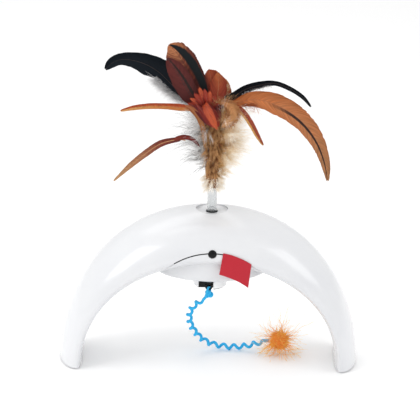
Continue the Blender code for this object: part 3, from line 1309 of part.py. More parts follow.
def make_cord_knot(blue):
    return link_object("cord_knot", ball("cord_knot", knot_centre(), KNOT_RADIUS, 2), blue)


def make_pompom(orange):
    """A soft ball of yarn ends: every other face of an icosphere drawn out to a spike."""
    work = bmesh.new()
    bmesh.ops.create_icosphere(work, subdivisions=2, radius=POMPOM_CORE)
    ball_verts = set(work.verts)
    bmesh.ops.poke(work, faces=work.faces)
    tips = [v for v in work.verts if v not in ball_verts]
    toward_cord = (Vector(CORD_ROUTE[-1]) - POMPOM_CENTRE).normalized()
    for number, vert in enumerate(tips):
        way = vert.co.normalized()
        if way.dot(toward_cord) > CORD_SIDE_SHARE or number % 2:
            vert.co = way * POMPOM_CORE
            continue
        reach = POMPOM_REACH
        if way.z < 0:
            room = (POMPOM_CENTRE.z - POMPOM_FLOOR_GAP) / -way.z
            reach = min(reach, room)
        vert.co = way * reach
    bmesh.ops.recalc_face_normals(work, faces=work.faces)
    mesh = bpy.data.meshes.new("pompom")
    work.to_mesh(mesh)
    work.free()
    mesh.transform(Matrix.Translation(POMPOM_CENTRE))
    return link_object("pompom", mesh, orange)


# Tag

def make_side_tag(red):
    """A blank ribbon tag that comes out of the seam and hangs down over the housing."""
    rings = []
    for row in range(TAG_ROWS + 1):
        share = row / TAG_ROWS
        corners = []
        for column in (0, 1):
            x = TAG_START_X + TAG_WIDTH * math.cos(TAG_SLOPE) * column
            top_z = SEAM_CENTRE_Z + math.sqrt(SEAM_RADIUS ** 2 - x * x)
            z = top_z - TAG_DROP * share
            corners.append((x, z))
        front = -CROWN_HALF_DEPTH - TAG_LEAN * math.sin(share * math.pi / 2)
        back_row = [(x, front, z) for x, z in corners]
        rings.append(back_row + [(x, front - TAG_THICKNESS, z) for x, z in reversed(corners)])
    return link_object("side_tag", loft("side_tag", rings), red)


def group_under(name, place, pieces):
    """Hang a moving group's pieces on an empty that lies on its axis."""
    empty = bpy.data.objects.new(name, None)
    bpy.context.collection.objects.link(empty)
    empty.location = place
    bpy.context.view_layer.update()
    for piece in pieces:
        piece.parent = empty
        piece.matrix_parent_inverse = empty.matrix_world.inverted()


def build():
    clear_objects()
    white = material("white_gloss_plastic", (0.86, 0.87, 0.87), 0.25)
    black = material("black_plastic", (0.02, 0.02, 0.022), 0.3)
    grey = material("grey_plastic", (0.35, 0.36, 0.37), 0.5)
    rubber = material("black_rubber", (0.03, 0.03, 0.03), 0.8)
    steel = material("steel", (0.6, 0.6, 0.6), 0.35, 1.0)
    brass = material("brass", (0.78, 0.6, 0.25), 0.3, 1.0)
    nylon = material("nylon", (0.85, 0.83, 0.75), 0.45)
    green = material("circuit_board", (0.02, 0.22, 0.1), 0.5)
    sleeve = material("battery_sleeve", (0.12, 0.12, 0.14), 0.35)
    red = material("red_ribbon", (0.6, 0.01, 0.04), 0.8)
    clear = material("clear_plastic", (0.9, 0.9, 0.9), 0.1, 0.0, 0.4)
    thread = material("brown_thread", (0.2, 0.07, 0.03), 0.9)
    fur = material("tan_fur", (0.66, 0.53, 0.43), 0.95)
    dark_feather = material("black_feather", (0.01, 0.015, 0.025), 0.5)
    rust_feather = material("rust_feather", (0.3, 0.05, 0.02), 0.6)
    red_feather = material("red_feather", (0.45, 0.06, 0.03), 0.6)
    tan_feather = material("tan_feather", (0.5, 0.28, 0.14), 0.7)
    orange_feather = material("orange_feather", (0.5, 0.16, 0.06), 0.6)
    blue = material("blue_cord", (0.03, 0.45, 0.75), 0.6)
    orange = material("orange_yarn", (0.9, 0.28, 0.07), 0.9)

    make_arch_shell(white)
    make_leg_cover("left_leg_cover", -1, white)
    make_leg_cover("right_leg_cover", 1, white)
    make_drive_housing(white)
    link_object("seam_strip_front", make_seam_strip("seam_strip_front", 1), black)
    link_object("seam_strip_rear", make_seam_strip("seam_strip_rear", -1), black)
    make_motion_sensor(black)
    make_foot_pad("left_foot_pad", -1, rubber)
    make_foot_pad("right_foot_pad", 1, rubber)
    make_top_bezel(white)
    make_upper_bush(brass)
    make_lower_bush(brass)
    make_gear_plate(grey)
    make_plate_screws(steel)
    make_idler_pin(steel)
    make_motor(steel, nylon)
    make_control_board(green)
    make_battery_box(grey)
    make_battery_cells(sleeve)
    make_battery_contacts(steel)
    make_side_tag(red)
    make_battery_door(white)
    switch, knob = make_power_switch(grey, black)
    group_under("knob_slide", (0, TUB_HALF_Y, SWITCH_Z), [knob])

    idler = make_idler_gear(nylon)
    group_under("idler_axis", (IDLER_X, 0, IDLER_LARGE_Z), [idler])
    group_under("motor_axis", (MOTOR_X, 0, IDLER_LARGE_Z), [make_motor_pinion(brass), make_motor_shaft(steel)])

    rotor = [make_main_shaft(steel), make_drive_gear(nylon), make_wand_socket(black), make_cord_hub(white),
             make_hub_plate(black), make_cord_hook(black), make_cord_knot(blue), make_curly_cord(blue),
             make_pompom(orange)]
    group_under("rotor_axis", (0, 0, TUB_FLOOR_Z), rotor)

    colours = {"feather_black_left": dark_feather, "feather_striped_top": rust_feather,
               "feather_maroon_top": red_feather, "feather_rust_top": rust_feather,
               "feather_tan_right": tan_feather, "feather_red_front": red_feather,
               "feather_red_drop": red_feather, "feather_brown_right": tan_feather,
               "feather_black_right": dark_feather, "feather_hackle_right": orange_feather,
               "feather_small_right": red_feather, "feather_orange_left": orange_feather}
    wand = [make_wand_tube(clear), make_feather_binding(thread), make_fur_wrap(fur), make_low_feather(tan_feather)]
    for name, (degrees, shares) in FEATHER_SPINE_SHARES.items():
        wand.append(make_feather(name, degrees, shares, colours[name]))
    group_under("wand_axis", (0, 0, SOCKET_SEAT_Z), wand)


build()
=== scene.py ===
# The looks of a rotating feather cat toy: glossy white arch, feather wand, curly cord and pompom.
# Metres, +Z up, in the same frame as the CAD. The front faces -Y.

import math

import bmesh
import bpy
import numpy as np
from mathutils import Matrix, Vector


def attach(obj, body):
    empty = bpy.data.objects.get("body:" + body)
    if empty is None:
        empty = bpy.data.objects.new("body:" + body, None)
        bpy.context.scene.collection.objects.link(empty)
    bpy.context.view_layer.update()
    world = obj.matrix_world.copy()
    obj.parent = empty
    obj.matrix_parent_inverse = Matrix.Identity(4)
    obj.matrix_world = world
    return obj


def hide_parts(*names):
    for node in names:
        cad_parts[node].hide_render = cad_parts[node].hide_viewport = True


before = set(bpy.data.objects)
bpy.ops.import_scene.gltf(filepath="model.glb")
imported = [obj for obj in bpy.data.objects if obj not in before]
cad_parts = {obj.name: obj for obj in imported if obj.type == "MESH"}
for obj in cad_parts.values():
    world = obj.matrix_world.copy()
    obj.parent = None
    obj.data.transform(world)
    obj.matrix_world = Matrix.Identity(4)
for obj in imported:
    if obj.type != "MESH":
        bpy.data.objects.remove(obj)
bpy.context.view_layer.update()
MM = 0.001
DICE = np.random.default_rng(11)

# Sizes of the pieces that are made finer here, most of them repeated from the CAD
ARCH_HALF_WIDTH = 170.0 * MM
ARCH_HEIGHT = 184.0 * MM
LEG_THICKNESS = 25.0 * MM
CROWN_THICKNESS = 60.0 * MM
CROWN_HALF_DEPTH = 57.0 * MM
FOOT_HALF_DEPTH = 44.0 * MM
SHELL_WALL = 2.5 * MM
ARCH_ROUNDNESS = 2.08
LEG_END_Z = 1.5 * MM
# The widest line of the arch's section, as a share of the way from the inner to the outer
# curve: at the feet, and how much further out at the crown
WIDEST_SHARE = 0.22
WIDEST_SHARE_RISE = 0.08
# How far below the widest line the shell and the inner covers end
SHELL_EDGE = math.radians(38.0)
COVER_EDGE = math.radians(38.8)
# Angles along the arch, from a foot: the covers' upper end, the housing's end, the door's middle
COVER_TOP_ANGLE = math.radians(72.0)
HOUSING_ANGLE = math.radians(52.0)
DOOR_ANGLE = math.radians(42.0)
DOOR_HALF_LENGTH = 17.0 * MM
DOOR_HALF_WIDTH = 26.0 * MM
DOOR_GAP = 0.5 * MM
SEAM_RADIUS = 78.3 * MM
SEAM_TOP = 147.5 * MM
SEAM_CENTRE_Z = SEAM_TOP - SEAM_RADIUS
SEAM_GAP = 0.4 * MM
STRIP_WIDTH = 0.75 * MM
STRIP_HALF_ANGLE = math.radians(33.0)
STRIP_END_GAP_ANGLE = 0.004
FIT_GAP = 0.3 * MM
TUB_HALF_X = 66.0 * MM
TUB_HALF_Y = 50.0 * MM
TUB_EDGE_Z = 112.0 * MM
TUB_FLOOR_Z = 100.0 * MM
TUB_FLOOR_RADIUS = 20.0 * MM
TUB_TOP_Z = 138.0 * MM
TUB_EDGE_ROUND = 3.0 * MM
TUB_FLOOR_WALL = 3.0 * MM
SHAFT_HOLE_RADIUS = 7.1 * MM
# How far a cutting body reaches along Y, and past a wall that it opens
CUTTER_REACH = 70.0 * MM
CUT_PAST = 6.0 * MM
SENSOR_RADIUS = 4.6 * MM
DISH_RADIUS = 18.4 * MM
TUBE_RADIUS = 5.5 * MM
TUBE_WALL = 1.2 * MM
TUBE_TOP_Z = 300.0 * MM
WAND_SEAT_Z = 168.3 * MM
FEATHER_BASE_Z = 258.0 * MM
FUR_TOP_Z = 300.0 * MM
QUILL_CIRCLE = 7.3 * MM
QUILL_HALF_WIDTH = 1.1 * MM
PLUME_REACH = 128.0 * MM
BARB_STEP = 0.45 * MM
BARB_HALF_WIDTH = 0.38 * MM
SHAFT_RADIUS = 0.5 * MM
# Faces of the white shells that meet under this angle, in degrees, look like one skin
SHELL_SMOOTH = 32.0


# Small tools

def hex_colour(text):
    """An sRGB hex value as linear colour: each channel undone by the sRGB curve."""
    srgb = np.array([int(text[k:k + 2], 16) for k in (0, 2, 4)]) / 255
    linear = np.where(srgb <= 0.04045, srgb / 12.92, ((srgb + 0.055) / 1.055) ** 2.4)
    return (*linear.tolist(), 1.0)


def plug(tree, node, inputs):
    """Fill a node's sockets: an output is linked, a node gives its first output, and a plain
    value is written."""
    for key, value in inputs.items():
        source = value.outputs[0] if isinstance(value, bpy.types.Node) else value
        if isinstance(source, bpy.types.NodeSocket):
            tree.links.new(source, node.inputs[key])
        else:
            node.inputs[key].default_value = source


def add_node(tree, kind, settings=None, inputs=None):
    """Add a shader node with its own settings, and with values or links on its sockets.
    Colour stops are text: each has its place and its hex value."""
    node = tree.nodes.new("ShaderNode" + kind)
    for key, value in (settings or {}).items():
        if key == "stops":
            stops = [stop.split() for stop in value.split(", ")]
            ramp = node.color_ramp
            while len(ramp.elements) < len(stops):
                ramp.elements.new(1.0)
            for element, (place, colour) in zip(ramp.elements, stops):
                element.position = float(place)
                element.color = hex_colour(colour)
        else:
            setattr(node, key, value)
    plug(tree, node, inputs or {})
    return node


def new_material(name, **values):
    """A Principled material and its tree and shader, with plain values on the shader."""
    mat = bpy.data.materials.new(name)
    mat.use_nodes = True
    shader = mat.node_tree.nodes["Principled BSDF"]
    for key, value in values.items():
        shader.inputs[key.replace("_", " ")].default_value = value
    return mat, mat.node_tree, shader


def grid_faces(rows, columns, wrap_rows, wrap_columns):
    """Quads between neighbours of a grid of points, numbered row by row."""
    r = np.arange(rows if wrap_rows else rows - 1)
    c = np.arange(columns if wrap_columns else columns - 1)
    r, c = np.meshgrid(r, c, indexing="ij")
    r2, c2 = (r + 1) % rows * columns, (c + 1) % columns
    r = r * columns
    return np.stack([r + c, r + c2, r2 + c2, r2 + c], -1).reshape(-1, 4)


def ribbon_faces(count, segments):
    """Quads along flat ribbons that have two points at every step."""
    base = (np.arange(count) * (segments + 1) * 2)[:, None] + (np.arange(segments) * 2)[None]
    return np.stack([base, base + 1, base + 3, base + 2], -1).reshape(-1, 4)


def mesh_from(name, points, faces, uv=None, caps=()):
    """A mesh of points and quads, with a UV per point and flat end caps."""
    mesh = bpy.data.meshes.new(name)
    face_list = faces.tolist() + [list(cap) for cap in caps]
    mesh.from_pydata(np.asarray(points, float).reshape(-1, 3).tolist(), [], face_list)
    if uv is not None:
        layer = mesh.uv_layers.new(name="UVMap")
        loops = np.zeros(len(mesh.loops), int)
        mesh.loops.foreach_get("vertex_index", loops)
        layer.data.foreach_set("uv", np.asarray(uv, np.float32).reshape(-1, 2)[loops].ravel())
    return mesh


def turned_outwards(mesh):
    """The same mesh with every face pointing out."""
    work = bmesh.new()
    work.from_mesh(mesh)
    bmesh.ops.recalc_face_normals(work, faces=work.faces)
    work.to_mesh(mesh)
    work.free()
    return mesh


def show(name, mesh, mat, smooth_angle=40.0, turn_out=False):
    """Put a mesh in the scene as a named piece with one material."""
    if turn_out:
        turned_outwards(mesh)
    obj = bpy.data.objects.new(name, mesh)
    bpy.context.collection.objects.link(obj)
    mesh.materials.clear()
    mesh.materials.append(mat)
    mesh.shade_smooth()
    if smooth_angle:
        mesh.set_sharp_from_angle(angle=math.radians(smooth_angle))
    return obj


def stand_for(piece, node, body):
    """Let a piece move with its body and stand for a CAD node, whose own part is hidden."""
    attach(piece, body)
    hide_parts(node)
    return piece


def circle(sides):
    """Angles evenly round one turn."""
    return np.linspace(0, 2 * math.pi, sides, endpoint=False)


def lofted(name, rings, wrap_rows=False):
    """A closed skin over rings of points, each ring a row. The first and last rings get caps,
    or join each other."""
    rings = np.asarray(rings, float)
    rows, columns = rings.shape[:2]
    faces = grid_faces(rows, columns, wrap_rows, True)
    caps = ()
    if not wrap_rows:
        caps = (range(columns)[::-1], range((rows - 1) * columns, rows * columns))
    return mesh_from(name, rings, faces, caps=caps)


def turned_rings(profile, sides):
    """A profile of (radius, z) turned round Z: x and y are radius times cosine and sine."""
    profile = np.asarray(profile, float)
    a = circle(sides)
    x = profile[:, :1] * np.cos(a)
    y = profile[:, :1] * np.sin(a)
    return np.stack([x, y, np.broadcast_to(profile[:, 1:], x.shape)], -1)


def rounded(profile, radius, steps=4):
    """A closed outline of (radius, z) with each corner cut to a small arc."""
    pts = np.asarray(profile, float)
    out = []
    for k in range(len(pts)):
        before, here, after = pts[k - 1], pts[k], pts[(k + 1) % len(pts)]
        a, b = before - here, after - here
        reach = min(radius, np.linalg.norm(a) / 3, np.linalg.norm(b) / 3)
        start, end = here + a / np.linalg.norm(a) * reach, here + b / np.linalg.norm(b) * reach
        for t in np.linspace(0, 1, steps):
            out.append((1 - t) ** 2 * start + 2 * t * (1 - t) * here + t ** 2 * end)
    return np.array(out)


def boolean(mesh, *steps):
    """Apply exact Boolean steps, each (operation, other mesh), on meshes that face outwards."""
    target = bpy.data.objects.new("target", turned_outwards(mesh))
    bpy.context.collection.objects.link(target)
    tools = []
    for operation, other in steps:
        tool = bpy.data.objects.new("tool", turned_outwards(other))
        bpy.context.collection.objects.link(tool)
        tools.append(tool)
        mod = target.modifiers.new(operation, "BOOLEAN")
        mod.operation = operation
        mod.object = tool
    graph = bpy.context.evaluated_depsgraph_get()
    result = bpy.data.meshes.new_from_object(target.evaluated_get(graph))
    for obj in [target] + tools:
        bpy.data.objects.remove(obj, do_unlink=True)
    return result


def cut(mesh, *others):
    """A mesh less each of the others."""
    return boolean(mesh, *(("DIFFERENCE", other) for other in others))


def smooth_route(points, count):
    """Points spread evenly along a Catmull-Rom curve through the given ones."""
    pts = np.asarray(points, float)
    ends = np.vstack([pts[:1], pts, pts[-1:]])
    t = np.linspace(0, 1, 24, endpoint=False)[:, None]
    parts = []
    for k in range(len(pts) - 1):
        p0, p1, p2, p3 = ends[k:k + 4]
        parts.append((2 * p1 + (p2 - p0) * t + (2 * p0 - 5 * p1 + 4 * p2 - p3) * t ** 2
                      + (3 * p1 - p0 - 3 * p2 + p3) * t ** 3) / 2)
    dense = np.vstack(parts + [pts[-1:]])
    length = np.concatenate([[0], np.cumsum(np.linalg.norm(np.diff(dense, axis=0), axis=1))])
    goal = np.linspace(0, length[-1], count)
    return np.stack([np.interp(goal, length, dense[:, k]) for k in range(3)], -1)


def unit(vectors):
    """Each vector over its own length."""
    return vectors / np.maximum(np.linalg.norm(vectors, axis=-1, keepdims=True), 1e-12)


def frames_along(path, first_side):
    """Tangent, side and normal at each point of a path; the side is carried along it."""
    tangent = unit(np.gradient(path, axis=0))
    side = np.zeros_like(path)
    here = np.asarray(first_side, float)
    for k in range(len(path)):
        here = here - tangent[k] * np.dot(here, tangent[k])
        here /= np.linalg.norm(here)
        side[k] = here
    return tangent, side, np.cross(tangent, side)


def tube_rings(path, radii, sides, first_side=(0.3, 0.2, 0.9)):
    """Rings round a path: each point plus its radius times a circle across the path."""
    _, side, other = frames_along(path, first_side)
    a = circle(sides)[None, :, None]
    radii = np.broadcast_to(np.asarray(radii, float), (len(path),))[:, None, None]
    return path[:, None] + radii * (np.cos(a) * side[:, None] + np.sin(a) * other[:, None])


# Materials

def dress(tree, shader, pattern, stops, bump=None, rough=None):
    """Colour a shader by a pattern. A bump has its strength, depth and pattern of heights,
    and the roughness may follow the colour's pattern between two values."""
    sockets = {"Base Color": add_node(tree, "ValToRGB", {"stops": stops}, {"Fac": pattern})}
    if bump:
        sockets["Normal"] = add_node(tree, "Bump", inputs=dict(zip(("Strength", "Distance", "Height"), bump)))
    if rough:
        sockets["Roughness"] = add_node(tree, "MapRange", inputs={
            "Value": pattern, "To Min": rough[0], "To Max": rough[1]})
    plug(tree, shader, sockets)


def moulded_abs(name, light, dark, roughness, coat=0.35, shine=0.5):
    """Glossy moulded ABS: even colour, a soft coat, and the faint ripple of a moulded skin."""
    mat, tree, shader = new_material(name, Roughness=roughness, IOR=1.53, Coat_Weight=coat,
                                     Coat_Roughness=0.08, Specular_IOR_Level=shine)
    place = add_node(tree, "TexCoord").outputs["Object"]
    cloud = add_node(tree, "TexNoise", inputs={"Vector": place, "Scale": 22.0, "Detail": 2.0})
    ripple = add_node(tree, "TexNoise", inputs={"Vector": place, "Scale": 450.0, "Detail": 1.0})
    dress(tree, shader, cloud, f"0.3 {dark}, 0.7 {light}", bump=(0.03, 0.0003, ripple))
    return mat


def satin_metal(name, light, dark, roughness, stretch):
    """Drawn or turned metal: fine lines that vary the roughness."""
    mat, tree, shader = new_material(name, Metallic=1.0)
    place = add_node(tree, "TexCoord").outputs["Object"]
    lines = add_node(tree, "Mapping", inputs={"Vector": place, "Scale": stretch})
    noise = add_node(tree, "TexNoise", inputs={"Vector": lines, "Scale": 900.0})
    dress(tree, shader, noise, f"0.35 {dark}, 0.65 {light}", rough=(roughness - 0.08, roughness + 0.1))
    return mat


def matt_rubber():
    """Moulded rubber: dark, matt, with a fine grain."""
    mat, tree, shader = new_material("moulded_rubber", Roughness=0.8, IOR=1.52)
    place = add_node(tree, "TexCoord").outputs["Object"]
    grain = add_node(tree, "TexNoise", inputs={"Vector": place, "Scale": 1400.0, "Detail": 3.0})
    dress(tree, shader, grain, "0.3 161616, 0.7 232324", bump=(0.25, 0.0002, grain))
    return mat


def clear_acrylic():
    """Extruded clear acrylic tube: see-through with bright edges and faint draw lines."""
    mat, tree, shader = new_material("clear_acrylic", IOR=1.49, Transmission_Weight=0.92)
    place = add_node(tree, "TexCoord").outputs["Object"]
    lines = add_node(tree, "Mapping", inputs={"Vector": place, "Scale": (1.0, 1.0, 0.03)})
    noise = add_node(tree, "TexNoise", inputs={"Vector": lines, "Scale": 700.0})
    dress(tree, shader, noise, "0.3 E4E6E7, 0.7 F7F8F8", rough=(0.04, 0.16))
    return mat


def woven_ribbon():
    """Woven satin ribbon: a red whose warp and weft are drawn coarse enough to show."""
    mat, tree, shader = new_material("woven_ribbon", Roughness=0.62)
    place = add_node(tree, "UVMap", {"uv_map": "UVMap"})
    warp = add_node(tree, "TexWave", {"bands_direction": "X"}, {"Vector": place, "Scale": 11.0})
    weft = add_node(tree, "TexWave", {"bands_direction": "Y"}, {"Vector": place, "Scale": 9.0})
    weave = add_node(tree, "Math", {"operation": "MULTIPLY"},
                     {0: warp.outputs["Fac"], 1: weft.outputs["Fac"]})
    dress(tree, shader, weave, "0 AE0620, 1 D0142E", bump=(0.5, 0.0002, weave))
    return mat


def elastic_cord():
    """Covered elastic cord: bright blue braid with a soft nap, with painted shade in the braid's valleys and
    painted light on its crowns.
    """
    mat, tree, shader = new_material("braided_elastic", Roughness=0.7, Sheen_Weight=0.05, Sheen_Roughness=0.5)
    place = add_node(tree, "TexCoord").outputs["Object"]
    nap = add_node(tree, "TexNoise", inputs={"Vector": place, "Scale": 1100.0, "Detail": 3.0})
    braid = add_node(tree, "TexVoronoi", inputs={"Vector": place, "Scale": 900.0})
    both = add_node(tree, "Math", {"operation": "SUBTRACT"}, {0: nap, 1: braid})
    # The braid's valleys take the darker blue and its crowns the lighter: painted shade and painted light
    # over the nap's own tone
    dress(tree, shader, both, "0 1EB4F0, 0.35 46CCF8, 0.8 8AE4FC", bump=(0.6, 0.0004, both))
    return mat


def fibre(name, stops, roughness=0.8, sheen=0.0, speckle=0.18):
    """Loose fibre such as hair, down or yarn. U is the strand's own shade and V runs along it."""
    mat, tree, shader = new_material(name, Roughness=roughness, Sheen_Weight=sheen, Sheen_Roughness=0.4)
    uv = add_node(tree, "UVMap", {"uv_map": "UVMap"})
    strand = add_node(tree, "SeparateXYZ", inputs={"Vector": uv}).outputs
    shift = add_node(tree, "Math", {"operation": "MULTIPLY_ADD"},
                     {0: strand["X"], 1: speckle, 2: strand["Y"]})
    dress(tree, shader, shift, stops)
    return mat


def vane(name, along, stripe=None, stripe_colour="15171B", gloss=0.5, contrast=0.24, shine=0.25):
    """A feather's vane: colours run along it, fine lines follow the barbs, and some feathers
    have a dark stripe, given by its middle and half width across and by where it starts and
    is full. U runs along the vane, and V across it, 0.5 at the shaft."""
    mat, tree, shader = new_material(name, Roughness=gloss, Specular_IOR_Level=shine)
    uv = add_node(tree, "UVMap", {"uv_map": "UVMap"})
    place = add_node(tree, "SeparateXYZ", inputs={"Vector": uv}).outputs
    lines = add_node(tree, "Mapping", inputs={"Vector": uv, "Scale": (170.0, 1.5, 1.0)})
    barbs = add_node(tree, "TexNoise", inputs={"Vector": lines, "Scale": 1.0})
    streaks = add_node(tree, "Mapping", inputs={"Vector": uv, "Scale": (46.0, 2.6, 1.0)})
    cloud = add_node(tree, "TexNoise", inputs={"Vector": streaks, "Scale": 1.0, "Detail": 3.0})
    drift = add_node(tree, "Math", {"operation": "MULTIPLY_ADD"}, {0: cloud, 1: 0.6, 2: place["X"]})
    shifted = add_node(tree, "Math", {"operation": "SUBTRACT"}, {0: drift, 1: 0.3})
    colour = add_node(tree, "ValToRGB", {"stops": along}, {"Fac": shifted}).outputs["Color"]
    shade = add_node(tree, "MapRange", inputs={
        "Value": barbs, "From Min": 0.3, "From Max": 0.7, "To Min": 1 - contrast, "To Max": 1 + contrast})
    if stripe:
        middle, half, begin, full = stripe
        off = add_node(tree, "Math", {"operation": "SUBTRACT"}, {0: place["Y"], 1: middle})
        gap = add_node(tree, "Math", {"operation": "ABSOLUTE"}, {0: off})
        inside = add_node(tree, "MapRange", {"interpolation_type": "SMOOTHSTEP"}, {
            "Value": gap, "From Min": half * 0.6, "From Max": half, "To Min": 1.0, "To Max": 0.0})
        grown = add_node(tree, "MapRange", {"interpolation_type": "SMOOTHSTEP"}, {
            "Value": place["X"], "From Min": begin, "From Max": full})
        both = add_node(tree, "Math", {"operation": "MULTIPLY"}, {0: inside, 1: grown})
        colour = add_node(tree, "Mix", {"data_type": "RGBA"}, {
            "Factor": both, 6: colour, 7: hex_colour(stripe_colour)}).outputs[2]
    shaded = add_node(tree, "Mix", {"data_type": "RGBA", "blend_type": "MULTIPLY"}, {
        "Factor": 1.0, 6: colour, 7: shade}).outputs[2]
    bump = add_node(tree, "Bump", inputs={"Strength": 0.25, "Distance": 0.0002, "Height": barbs})
    plug(tree, shader, {"Base Color": shaded, "Normal": bump})
    return mat


def circuit_board_finish():
    """Green solder mask with faint copper tracks."""
    mat, tree, shader = new_material("solder_mask", Roughness=0.4)
    place = add_node(tree, "TexCoord").outputs["Object"]
    tracks = add_node(tree, "TexBrick", inputs={
        "Vector": place, "Scale": 260.0, "Color1": hex_colour("15603A"), "Color2": hex_colour("1B6E44"),
        "Mortar": hex_colour("2C8A5A"), "Mortar Size": 0.04})
    plug(tree, shader, {"Base Color": tracks})
    return mat


# Arch form, as in the CAD

def arch_points(angles, turns, inset=0.0, lift=0.0):
    """Points of the arch's skin on a grid of angles and turns. Outer and inner curves are
    super-ellipses; the section between them is a half ellipse above its widest line and a
    shallow one below."""
    angles, turns = np.meshgrid(angles, turns, indexing="ij")
    power = 2 / ARCH_ROUNDNESS
    c = np.sign(np.cos(angles)) * np.abs(np.cos(angles)) ** power
    s = np.clip(np.sin(angles), 0, None) ** power
    ox, oz = -ARCH_HALF_WIDTH * c, ARCH_HEIGHT * s
    ix, iz = -(ARCH_HALF_WIDTH - LEG_THICKNESS) * c, (ARCH_HEIGHT - CROWN_THICKNESS) * s
    lean = (inset + lift) / np.hypot(ox - ix, oz - iz)
    middle = WIDEST_SHARE + WIDEST_SHARE_RISE * np.sin(angles)
    up = np.sin(turns)
    q = middle + np.where(up >= 0, 1 - middle - lean, middle - lean) * up
    depth = FOOT_HALF_DEPTH + (CROWN_HALF_DEPTH - FOOT_HALF_DEPTH) * np.sin(angles) - inset - lift
    return np.stack([ix + (ox - ix) * q, -depth * np.cos(turns), iz + (oz - iz) * q], -1)


def end_angle(height):
    """The angle at which the outer curve is at this height: the sine's power undone."""
    return math.asin((height / ARCH_HEIGHT) ** (ARCH_ROUNDNESS / 2))


def skin_panel(name, start, end, turn_from, turn_to, stations, columns, wall=SHELL_WALL, lift=0.0):
    """A panel of the arch's skin: the outer grid, then the inner grid back again."""
    angles = np.linspace(start, end, stations)
    turns = np.linspace(turn_from, turn_to, columns)
    outer = arch_points(angles, turns, lift=lift)
    inner = arch_points(angles, turns[::-1], lift=lift + wall)
    return lofted(name, np.concatenate([outer, inner], 1))


def skin_y(x, z):
    """The Y of the arch's front skin at (x, z), by halving the share between the curves."""
    x, z = np.broadcast_arrays(np.asarray(x, float), np.asarray(z, float))
    low, high = np.zeros(x.shape), np.ones(x.shape)
    power = ARCH_ROUNDNESS
    for _ in range(40):
        q = (low + high) / 2
        half = ARCH_HALF_WIDTH - LEG_THICKNESS * (1 - q)
        rise = ARCH_HEIGHT - CROWN_THICKNESS * (1 - q)
        outside = (np.abs(x) / half) ** power + (z / rise) ** power > 1
        low, high = np.where(outside, q, low), np.where(outside, high, q)
    sine = (z / rise) ** (power / 2)
    middle = WIDEST_SHARE + WIDEST_SHARE_RISE * sine
    up = np.where(q > middle, (q - middle) / (1 - middle), (q - middle) / middle)
    depth = FOOT_HALF_DEPTH + (CROWN_HALF_DEPTH - FOOT_HALF_DEPTH) * sine
    return -depth * np.sqrt(np.clip(1 - up * up, 0, 1))


SENSOR_FACE_Y = float(skin_y(0, SEAM_TOP))


def over_outline(x, z, low=-CUTTER_REACH, high=CUTTER_REACH):
    """A straight body along Y over an outline in X and Z."""
    return lofted("straight", [np.stack([x, np.full(len(x), y), z], -1) for y in (low, high)])


def seam_cylinder(radius):
    """A round body along Y with the seam's centre."""
    a = circle(240)
    return over_outline(radius * np.cos(a), SEAM_CENTRE_Z + radius * np.sin(a))


def sensor_hole(behind=CUT_PAST):
    """A round body along Y through the skin at the sensor."""
    a, radius = circle(48), SENSOR_RADIUS + FIT_GAP
    return over_outline(radius * np.cos(a), SEAM_TOP + radius * np.sin(a), SENSOR_FACE_Y - CUT_PAST,
                        SENSOR_FACE_Y + behind)


def seam_band(low, high, half_angle):
    """A curved bar along Y between two radii round the seam's centre."""
    a = np.linspace(-half_angle, half_angle, 60)
    x = np.concatenate([low * np.sin(a), high * np.sin(a[::-1])])
    return over_outline(x, SEAM_CENTRE_Z + np.concatenate([low * np.cos(a), high * np.cos(a[::-1])]))


def tub(inset, top, sides=144):
    """An oval bowl: a round floor, a shallow cone, a rounded edge and steep sides. The edge
    draws in by one less a sine while it rises by 1.3 less 1.6 times a cosine."""
    floor = TUB_FLOOR_Z + (TUB_FLOOR_WALL if inset > 0 else inset)
    edge, hx, hy = TUB_EDGE_Z + inset, TUB_HALF_X - inset, TUB_HALF_Y - inset
    a = circle(sides)
    rings = [(TUB_FLOOR_RADIUS, TUB_FLOOR_RADIUS, floor)]
    for t in np.linspace(0, math.pi / 2, 7):
        drop = TUB_EDGE_ROUND * (1 - math.sin(t))
        rise = TUB_EDGE_ROUND * (1.3 - math.cos(t) * 1.6)
        rings.append((hx - drop, hy - drop, edge + max(rise, -0.3 * TUB_EDGE_ROUND)))
    rings.append((hx, hy, top))
    return lofted("tub", [np.stack([rx * np.cos(a), ry * np.sin(a), np.full(sides, z)], -1)
                          for rx, ry, z in rings])


def box(x, y, z):
    """A block between two values on each axis, in millimetres."""
    (x0, x1), (y0, y1) = x, y
    return lofted("box", np.array([[(x0, y0, h), (x1, y0, h), (x1, y1, h), (x0, y1, h)] for h in z]) * MM)


def upright(radius, low, high, sides=96):
    """A round body along Z."""
    return lofted("upright", turned_rings([(radius, low), (radius, high)], sides))


def make_arch(white):
    """The white arch shell, cut open for the housing, the seam strip, the sensor and the dish."""
    start = end_angle(LEG_END_Z)
    mesh = skin_panel("arch", start, math.pi - start, -SHELL_EDGE, math.pi + SHELL_EDGE, 180, 60)
    mesh = cut(mesh, seam_cylinder(SEAM_RADIUS + SEAM_GAP),
               seam_band(SEAM_RADIUS - CUT_PAST, SEAM_RADIUS + STRIP_WIDTH + 2 * FIT_GAP,
                         STRIP_HALF_ANGLE + STRIP_END_GAP_ANGLE),
               tub(-SEAM_GAP, TUB_TOP_Z), sensor_hole(), upright(DISH_RADIUS - 0.2 * MM, 160 * MM, 200 * MM))
    stand_for(show("arch_skin", mesh, white, SHELL_SMOOTH), "arch_shell", "stand")


